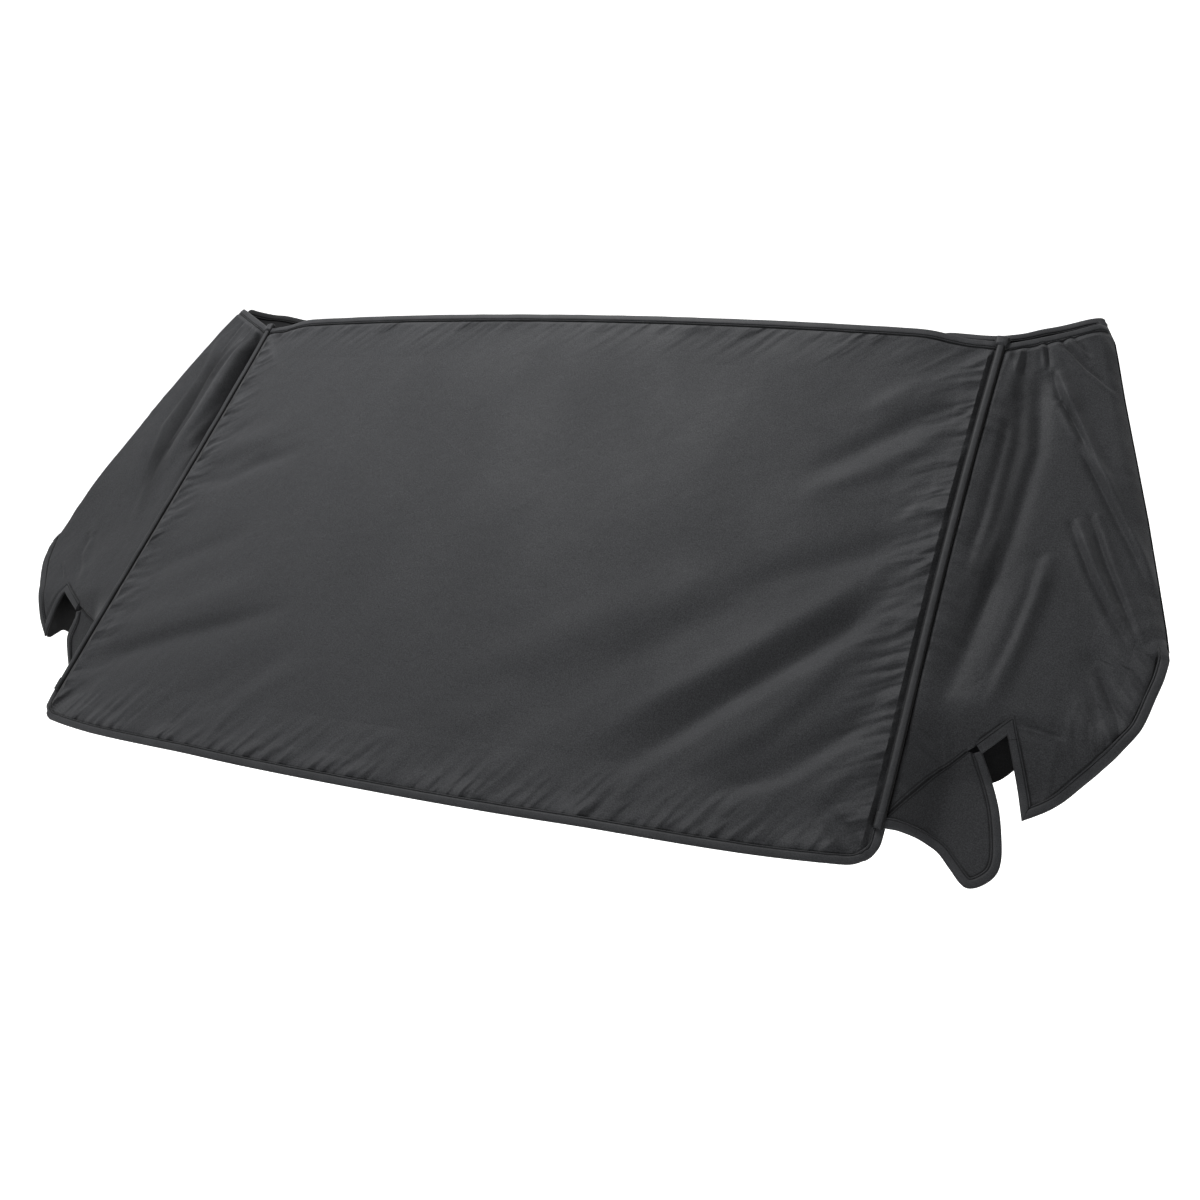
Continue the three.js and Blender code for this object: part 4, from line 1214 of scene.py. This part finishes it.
def tape_material(name, tone, painted_shade):
    """Ribbed tape: fine ribs across it, and painted shade across it at its edges and flanks."""
    nodes = MaterialNodes(name)
    flecks = nodes.noise(TAPE_FLECK_SCALE, roughness=0.6)
    threads = nodes.ramp(flecks, [(0.3, tone * 0.7), (0.7, tone * 1.3)], TINT)
    tones = nodes.product(threads, nodes.ramp(nodes.noise(scale=30, detail=3.0), WORN_TONES))
    ribs = nodes.math("SINE", nodes.math("MULTIPLY", nodes.attribute("along_mm"), 2 * math.pi / RIB_PITCH))
    nodes.feed(nodes.shader, {
        # Painted shade across the tape multiplies its colour
        "Base Color": nodes.product(tones, nodes.ramp(nodes.attribute("across"), painted_shade)),
        "Specular IOR Level": 0.1,
        "Sheen Weight": 0.04,
        "Roughness": 0.6,
        "Normal": nodes.bumps([
            (nodes.noise(scale=60, detail=3.0), TAPE_CRUMPLE_BUMP, 0.6), (ribs, RIB_BUMP, 0.3),
        ]),
    })
    return nodes.material


def thread_material(name, tone):
    nodes = MaterialNodes(name)
    twist = nodes.ramp(nodes.noise(scale=1500, detail=1.0), [(0.3, tone * 0.8), (0.7, tone * 1.2)])
    nodes.feed(nodes.shader, {"Base Color": twist, "Roughness": 0.5})
    return nodes.material


def floor_material(name):
    nodes = MaterialNodes(name)
    nodes.feed(nodes.shader, {
        "Base Color": nodes.ramp(nodes.noise(scale=2), FLOOR_TONES),
        "Roughness": 0.9,
        "Specular IOR Level": 0.1,
        "Emission Color": (1, 1, 1, 1),
        "Emission Strength": 0.75,
    })
    return nodes.material


# The wing and tongue cloth are slightly darker copies of the panel's cloth: painted shade for the wings,
# which turn from the light, and the tongues low down
PANEL_CLOTH = cloth_material("panel_cloth", tone=0.037, sheen=0.05, wrinkle=0.55)
WING_CLOTH = cloth_material("wing_cloth", tone=0.034, sheen=0.05, wrinkle=0.75)
TONGUE_CLOTH = cloth_material("tongue_cloth", tone=0.032, sheen=0.04, wrinkle=0.7)
# The door flap's cloth is far darker than the other cloth: painted shade for the flap lying in shadow behind
# the wing
SHADED_FLAP_CLOTH = cloth_material("inner_cloth_painted_shade", tone=0.007, sheen=0.0, wrinkle=0.5)
TAPE = tape_material("edge_tape", 0.038, TAPE_PAINTED_SHADE)
# The left flap's tape is a darker copy of the edge tape: painted shade for the tape lying in shadow
SHADED_FLAP_TAPE = tape_material("flap_tape", 0.008, TAPE_PAINTED_SHADE)
PIPING_TAPE = tape_material("piping_tape", 0.037, PIPING_PAINTED_SHADE)
KNOT_TAPE = tape_material("knot_tape", 0.042, KNOT_PAINTED_SHADE)
THREAD = thread_material("sewing_thread", 0.012)


# Pieces

def tape_mesh(name, strips):
    return strip_mesh(name, strips, [TAPE, THREAD], STITCH_COLUMNS)


def crowded(count):
    """Steps from -1 to 1 that lie closer together toward both ends."""
    t = np.linspace(-1, 1, count + 1)
    return t + PANEL_CROWDING * t * (1 - t ** 2)


def make_panel():
    """Cloth of the front panel, its bottom corners rounded."""
    start, end = CLOTH_INSET, PILLAR_LENGTH - CLOTH_INSET
    radius = BOTTOM_CORNER_RADIUS + TAPE_LAP
    bend = end - radius
    arc = np.linspace(0, math.pi / 2, CORNER_STEPS + 1)[1:]
    rows = blend(start, bend, (crowded(PANEL_ROWS) + 1) / 2)
    p = np.concatenate([rows, bend + radius * np.sin(arc)])
    cut = np.concatenate([np.zeros(len(rows)), radius * (1 - np.cos(arc))])
    half = seam_point(np.minimum(p, bend))[:, 0] - cut
    x = crowded(PANEL_COLUMNS)[:, None] * half[None]
    grid = np.stack([x, foot_row(x, p[None])], -1)
    panel = sheet_mesh("front_panel_cloth", [grid], FRONT, [PANEL_CLOTH], front_edges)
    return finish_piece(panel, "windscreen_panel")


def make_top_binding():
    half = TOP_HALF_WIDTH - TAPE_TUCK
    path = straight((-half, 0), (half, 0), int(2 * half / EDGING_STEP))
    obj = tape_mesh("top_tape", [strip_rings(path, 1, FRONT, BINDING_SECTION, waves=0.35)])
    return finish_piece(obj, "top_binding")


def bottom_outline():
    """Outer edge of the bottom binding, from the left tab down, across and up to the right tab."""
    radius = BOTTOM_CORNER_RADIUS + CLOTH_INSET
    overhang = BINDING_WIDTH - PIPING_HALF
    bend = PILLAR_LENGTH - radius
    centre = seam_point(bend)[0] + overhang - radius
    arc = np.linspace(0, math.pi / 2, 25)
    corner = np.stack([-centre - radius * np.cos(arc), bend + radius * np.sin(arc)], -1)
    tucked = BINDING_START - TAPE_TUCK
    top = np.array([[-(seam_point(tucked)[0] + overhang), tucked]])
    left = np.vstack([straight(top[0], corner[0], 5)[:-1], corner])
    right = (left * np.array([-1, 1]))[::-1]
    between = straight(left[-1], right[0], int(2 * centre / EDGING_STEP))[1:-1]
    outline = np.vstack([left, between, right])
    outline[:, 1] = foot_row(outline[:, 0], outline[:, 1])
    return outline


def make_bottom_binding():
    obj = tape_mesh("bottom_tape", [strip_rings(bottom_outline(), -1, FRONT, BINDING_SECTION, waves=0.4)])
    return finish_piece(obj, "bottom_binding")


def make_pillar_seam(side):
    """The piping of a pillar seam, with the tape over its top and the tab over its foot."""
    surface = on_side(seam_strip_point, side)

    def add(name, node, start, end, section, waves, rounding, material, flare=1):
        path = straight((start, 0), (end, 0), max(4, int((end - start) / EDGING_STEP)))
        rings = strip_rings(
            path, 1, surface, section, waves, round_start=rounding, round_end=rounding, flare=flare,
        )
        obj = strip_mesh(f"{name}_{side['name']}", [rings], [material])
        finish_piece(obj, f"{node}_{side['name']}")

    add(
        "piping", "pillar_piping", PIPING_START - PIPING_TOP_LAP, PIPING_END + PIPING_FOOT_LAP,
        PIPING_SECTION, waves=0.35, rounding=0, material=PIPING_TAPE,
    )
    add(
        "tape_end", "corner_tape", TAPE_START - PIPING_END_LAP, PIPING_START + PIPING_END_LAP,
        TAPE_SECTION, waves=0.3, rounding=4, material=KNOT_TAPE, flare=side["knot_flare"],
    )
    add(
        "tab_end", "piping_tab", PIPING_END - PIPING_END_LAP, TAB_END + PIPING_END_LAP,
        TAB_SECTION, waves=0.15, rounding=1, material=PIPING_TAPE,
    )


def on_rim(side, p, beyond=0.0):
    """Points on the rear edge of a wing."""
    return np.stack([p, rear_edge(side, p) + beyond], -1)


def wing_outline(side):
    """The outline from the notch's start to the hem's end, as finished with binding: the notch's
    upper edge, its rear edge from the apex to the hem corner, and the hem."""
    start, apex = np.array(side["notch_start"], float), np.array(side["notch_apex"], float)
    hem = curve_through(side["hem"], HEM_STEPS)
    return start, apex, hem


def wing_cloth_edge(side):
    """Inner edge of the bindings: notch start, apex, hem corner and the hem to its end."""
    start, apex, hem = wing_outline(side)
    coarse = np.vstack([start, apex, hem[0], hem[HEM_LOOK_AHEAD]])
    notch_start, apex_in, corner_in = inset(coarse, 1, CLOTH_INSET)[:3]
    hem_in = inset(hem, 1, CLOTH_INSET)
    beyond = np.einsum("ij,j->i", hem_in - corner_in, hem[HEM_LOOK_AHEAD] - hem[0]) > 0
    return notch_start, apex_in, np.vstack([corner_in, hem_in[beyond]])


def make_wing(side):
    """Cloth of a wing in three patches: in front of the notch, behind it, and below that to the hem."""
    surface = on_side(wing_point, side)
    notch_start, apex, hem_in = wing_cloth_edge(side)
    outline = np.array([(0, 0), side["rear"][0]], float)
    top_front, top_rear = inset(outline, -1, CLOTH_INSET)
    slope = (top_rear[0] - top_front[0]) / (top_rear[1] - top_front[1])

    def top_at(q):
        return np.array([top_front[0] + slope * (q - top_front[1]), q])

    corner_top = top_at(0.0)
    corner_rear = top_rear
    for _ in range(6):
        corner_rear = top_at(float(rear_edge(side, corner_rear[0])))
    top_notch = blend(corner_top, corner_rear, NOTCH_LINE_TOP)

    foot = curve_through(seam_foot(side), WING_FOOT_STEPS, FOOT_BIAS)
    down = np.linspace(0, 1, WING_ROWS + 1)
    down = (down + WING_CROWDING * down * (1 - down))[:, None]
    front_bottom = np.vstack([foot, straight(notch_start, apex, WING_NOTCH_STEPS)])
    seam_side = blend(corner_top, foot[0], down)
    notch_column = blend(top_notch, apex, down)
    front_top = straight(corner_top, top_notch, len(front_bottom) - 1)
    front_part = patch(front_top, front_bottom, seam_side, notch_column)

    rear_upper = on_rim(side, blend(corner_rear[0], NOTCH_LINE_REAR_P, down[:, 0]))
    rear_upper[0] = corner_rear
    middle = straight(apex, rear_upper[-1], WING_REAR_COLUMNS)
    rear_top = straight(top_notch, corner_rear, WING_REAR_COLUMNS)
    rear_part = patch(rear_top, middle, notch_column, rear_upper)

    hem_end = side["hem"][-1][0]
    clothed_hem = resampled(hem_in, WING_REAR_COLUMNS)
    rim_rows = on_rim(side, np.linspace(NOTCH_LINE_REAR_P, hem_end - HEM_END_CLEARANCE, WING_LOWER_ROWS + 1))
    notch_side = straight(apex, clothed_hem[0], WING_LOWER_ROWS)
    rear_side = straight(middle[-1], clothed_hem[-1], WING_LOWER_ROWS)
    lower_part = patch(middle, clothed_hem, notch_side, rear_side)
    spread = np.linspace(0, 1, WING_REAR_COLUMNS + 1)[:, None, None] ** RIM_PULL_POWER
    rim_shift = rim_rows - lower_part[-1]
    rim_shift[-1] = 0
    lower_part = lower_part + spread * rim_shift[None]

    name = f"wing_cloth_{side['name']}"
    grids = [front_part, rear_part, lower_part]
    wing = sheet_mesh(name, grids, surface, [WING_CLOTH], lambda p, q: wing_edges(side, p, q))
    return finish_piece(wing, f"wing_{side['name']}")


def turn_factor(a, b, c):
    """How far a mitre at b runs along each edge for one millimetre across it."""
    u, v = b - a, c - b
    angle = math.acos(float(np.dot(u, v) / (np.linalg.norm(u) * np.linalg.norm(v))))
    return math.tan(angle / 2)


def make_wing_bindings(side):
    """Tapes of a wing's top edge, of the notch's upper edge, and of its rear edge with the hem."""
    surface = on_side(wing_point, side)

    def add(name, node, strips):
        finish_piece(tape_mesh(f"{name}_{side['name']}", strips), f"{node}_{side['name']}")

    rear_top = np.array(side["rear"][0], float)
    top_start = rear_top * WING_TAPE_START / np.linalg.norm(rear_top)
    top_path = straight(top_start, rear_top, WING_TOP_TAPE_STEPS)
    add("wing_top_tape", "wing_top_binding", [
        strip_rings(top_path, -1, surface, BINDING_SECTION, waves=0.7, round_start=7.5, round_end=6),
    ])

    start, apex, hem = wing_outline(side)
    rear_way = (hem[0] - apex) / np.linalg.norm(hem[0] - apex)
    notch_way = (apex - start) / np.linalg.norm(apex - start)
    notch_start = start - NOTCH_TAPE_TUCK * notch_way
    notch_path = np.vstack([
        straight(notch_start, apex, NOTCH_TAPE_STEPS),
        straight(apex, apex + APEX_LAP * rear_way, APEX_LAP_STEPS)[1:],
    ])
    add("notch_tape", "notch_binding", [strip_rings(notch_path, 1, surface, BINDING_SECTION, waves=0.3)])

    factor = turn_factor(apex, hem[0], hem[HEM_LOOK_AHEAD])
    rear_path = straight(apex + (APEX_LAP + EDGE_GAP) * rear_way, hem[0], REAR_TAPE_STEPS)
    last = side["hem"][-1][0]
    overrun = on_rim(side, np.linspace(last, last - HEM_TAPE_OVERRUN, HEM_OVERRUN_STEPS + 1)[1:])
    hem_path = np.vstack([hem, overrun])
    hem_path[:, 1] += HEM_TAPE_OUT * (1 - smoothstep(hem_path[:, 0], last, last + HEM_TAPE_OUT_FADE))
    add("hem_tape", "hem_binding", [
        strip_rings(rear_path, 1, surface, BINDING_SECTION, waves=0.3, cut_end=factor),
        strip_rings(
            hem_path, 1, surface, BINDING_SECTION, waves=0.5, cut_start=factor, round_end=14, thin_end=70,
        ),
    ])


def make_tongue(side):
    """A tongue and its tape. Gives the cloth."""
    surface = on_side(wing_point, side)
    tongue = [TONGUE_ROOT, *side["tongue"]]
    rim = inset(curve_through(tongue, TONGUE_STEPS), 1, CLOTH_INSET)
    foot = curve_through(seam_foot(side), TONGUE_STEPS, FOOT_BIAS)
    front, rear = (straight(foot[k], rim[k], TONGUE_ROWS) for k in (0, -1))
    grid = patch(foot, rim, front, rear)

    name = f"tongue_cloth_{side['name']}"
    cloth = sheet_mesh(name, [grid], surface, [TONGUE_CLOTH], lambda p, q: tongue_edges(side, p, q))
    finish_piece(cloth, f"mirror_tongue_{side['name']}")
    path = curve_through(tongue, TONGUE_TAPE_STEPS)
    rings = strip_rings(path, 1, surface, BINDING_SECTION, waves=0.35, round_end=3)
    tape = tape_mesh(f"tongue_tape_{side['name']}", [rings])
    finish_piece(tape, f"tongue_binding_{side['name']}")
    return cloth


def make_flap(side):
    """A door flap, its cloth darkened with painted shade, and the tape on its top edge, darkened with painted
    shade on the left. Gives the cloth.
    """
    surface = on_side(flap_point, side)
    cloth_top = inset(curve_through(side["flap_top"], FLAP_COLUMNS - 1), 1, CLOTH_INSET)
    cloth_top = np.vstack([on_rim(side, cloth_top[:1, 0], FLAP_LIP), cloth_top])
    first, second = np.array(side["flap_top"][:2], float)
    flap_top = np.vstack([first + FLAP_TAPE_LEAD * (first - second), side["flap_top"]])
    foot = curve_through(side["flap_foot"], FLAP_COLUMNS)
    foot[0] = on_rim(side, foot[:1, 0], FLAP_LIP)[0]
    rear = on_rim(side, straight(cloth_top[0], foot[0], FLAP_ROWS)[:, 0], FLAP_LIP)
    inner = straight(cloth_top[-1], foot[-1], FLAP_ROWS)
    grid = patch(cloth_top, foot, rear, inner)

    name = f"flap_cloth_{side['name']}"
    cloth = sheet_mesh(name, [grid], surface, [SHADED_FLAP_CLOTH], lambda p, q: flap_edges(side, p, q))
    finish_piece(cloth, f"door_flap_{side['name']}")
    path = curve_through(flap_top, FLAP_TAPE_STEPS)
    rings = strip_rings(path, 1, surface, BINDING_SECTION, waves=0.4, round_start=7)
    materials = [TAPE if side["sign"] > 0 else SHADED_FLAP_TAPE, THREAD]
    tape = strip_mesh(f"flap_tape_{side['name']}", [rings], materials, STITCH_COLUMNS)
    finish_piece(tape, f"flap_top_binding_{side['name']}")
    return cloth


sheets = {"panel": make_panel()}
make_top_binding()
make_bottom_binding()
for side in SIDES:
    make_pillar_seam(side)
    sheets[f"wing_{side['name']}"] = make_wing(side)
    make_wing_bindings(side)
    sheets[f"tongue_{side['name']}"] = make_tongue(side)
    sheets[f"flap_{side['name']}"] = make_flap(side)


# Floor, light and camera, in metres and degrees

FLOOR_Z = -1.05
STAGE_HALF_WIDTH = 16
STAGE_FRONT = -12
STAGE_BEND = 4
STAGE_RADIUS = 2.5
STAGE_TOP = 9
CAMERA_PLACE = (1.5042, -2.5937, 0.0955)
CAMERA_DOWN = 10.87
CAMERA_TURN = 29.83


def make_stage():
    """Pale floor that turns up behind the object in one sweep."""
    turn = np.linspace(0, math.pi / 2, 17)
    profile = [(STAGE_FRONT, FLOOR_Z)]
    for t in turn:
        profile.append((STAGE_BEND + STAGE_RADIUS * math.sin(t), FLOOR_Z + STAGE_RADIUS * (1 - math.cos(t))))
    profile.append((STAGE_BEND + STAGE_RADIUS, STAGE_TOP))
    vertices = [(x, y, z) for y, z in profile for x in (-STAGE_HALF_WIDTH, STAGE_HALF_WIDTH)]
    faces = [(2 * k, 2 * k + 1, 2 * k + 3, 2 * k + 2) for k in range(len(profile) - 1)]
    mesh = bpy.data.meshes.new("stage")
    mesh.from_pydata(vertices, [], faces)
    mesh.shade_smooth()
    mesh.materials.append(floor_material("stage_paper"))
    stage = bpy.data.objects.new("stage", mesh)
    bpy.context.scene.collection.objects.link(stage)


make_stage()


def area_light(name, place, target, size, power):
    data = bpy.data.lights.new(name, "AREA")
    data.shape = "RECTANGLE"
    data.size, data.size_y = size
    data.energy = power
    light = bpy.data.objects.new(name, data)
    light.location = place
    aim = np.array(target) - np.array(place)
    light.rotation_euler = direction_euler(aim)
    bpy.context.scene.collection.objects.link(light)


def direction_euler(aim):
    """Rotation that turns a light's or camera's -Z to a direction, with +Z up."""
    x, y, z = aim
    return (math.atan2(math.hypot(x, y), -z), 0, math.atan2(y, x) - math.pi / 2)


area_light("key", place=(-0.95, -0.15, 2.4), target=(0, -0.35, -0.3), size=(1.0, 0.7), power=118)
area_light("fill", place=(3.2, -2.6, 1.4), target=(0.3, -0.3, -0.3), size=(2.0, 2.0), power=10)

world = bpy.data.worlds.new("studio")
world.use_nodes = True
world.node_tree.nodes["Background"].inputs["Color"].default_value = (1, 1, 1, 1)
world.node_tree.nodes["Background"].inputs["Strength"].default_value = 0.3
bpy.context.scene.world = world
bpy.context.scene.view_settings.view_transform = "Standard"

camera_data = bpy.data.cameras.new("camera")
camera_data.lens = 50
camera_data.sensor_width = 36
camera_data.clip_end = 60
camera = bpy.data.objects.new("camera", camera_data)
camera.location = CAMERA_PLACE
camera.rotation_euler = (math.radians(90 - CAMERA_DOWN), 0, math.radians(CAMERA_TURN))
bpy.context.scene.collection.objects.link(camera)
bpy.context.scene.camera = camera
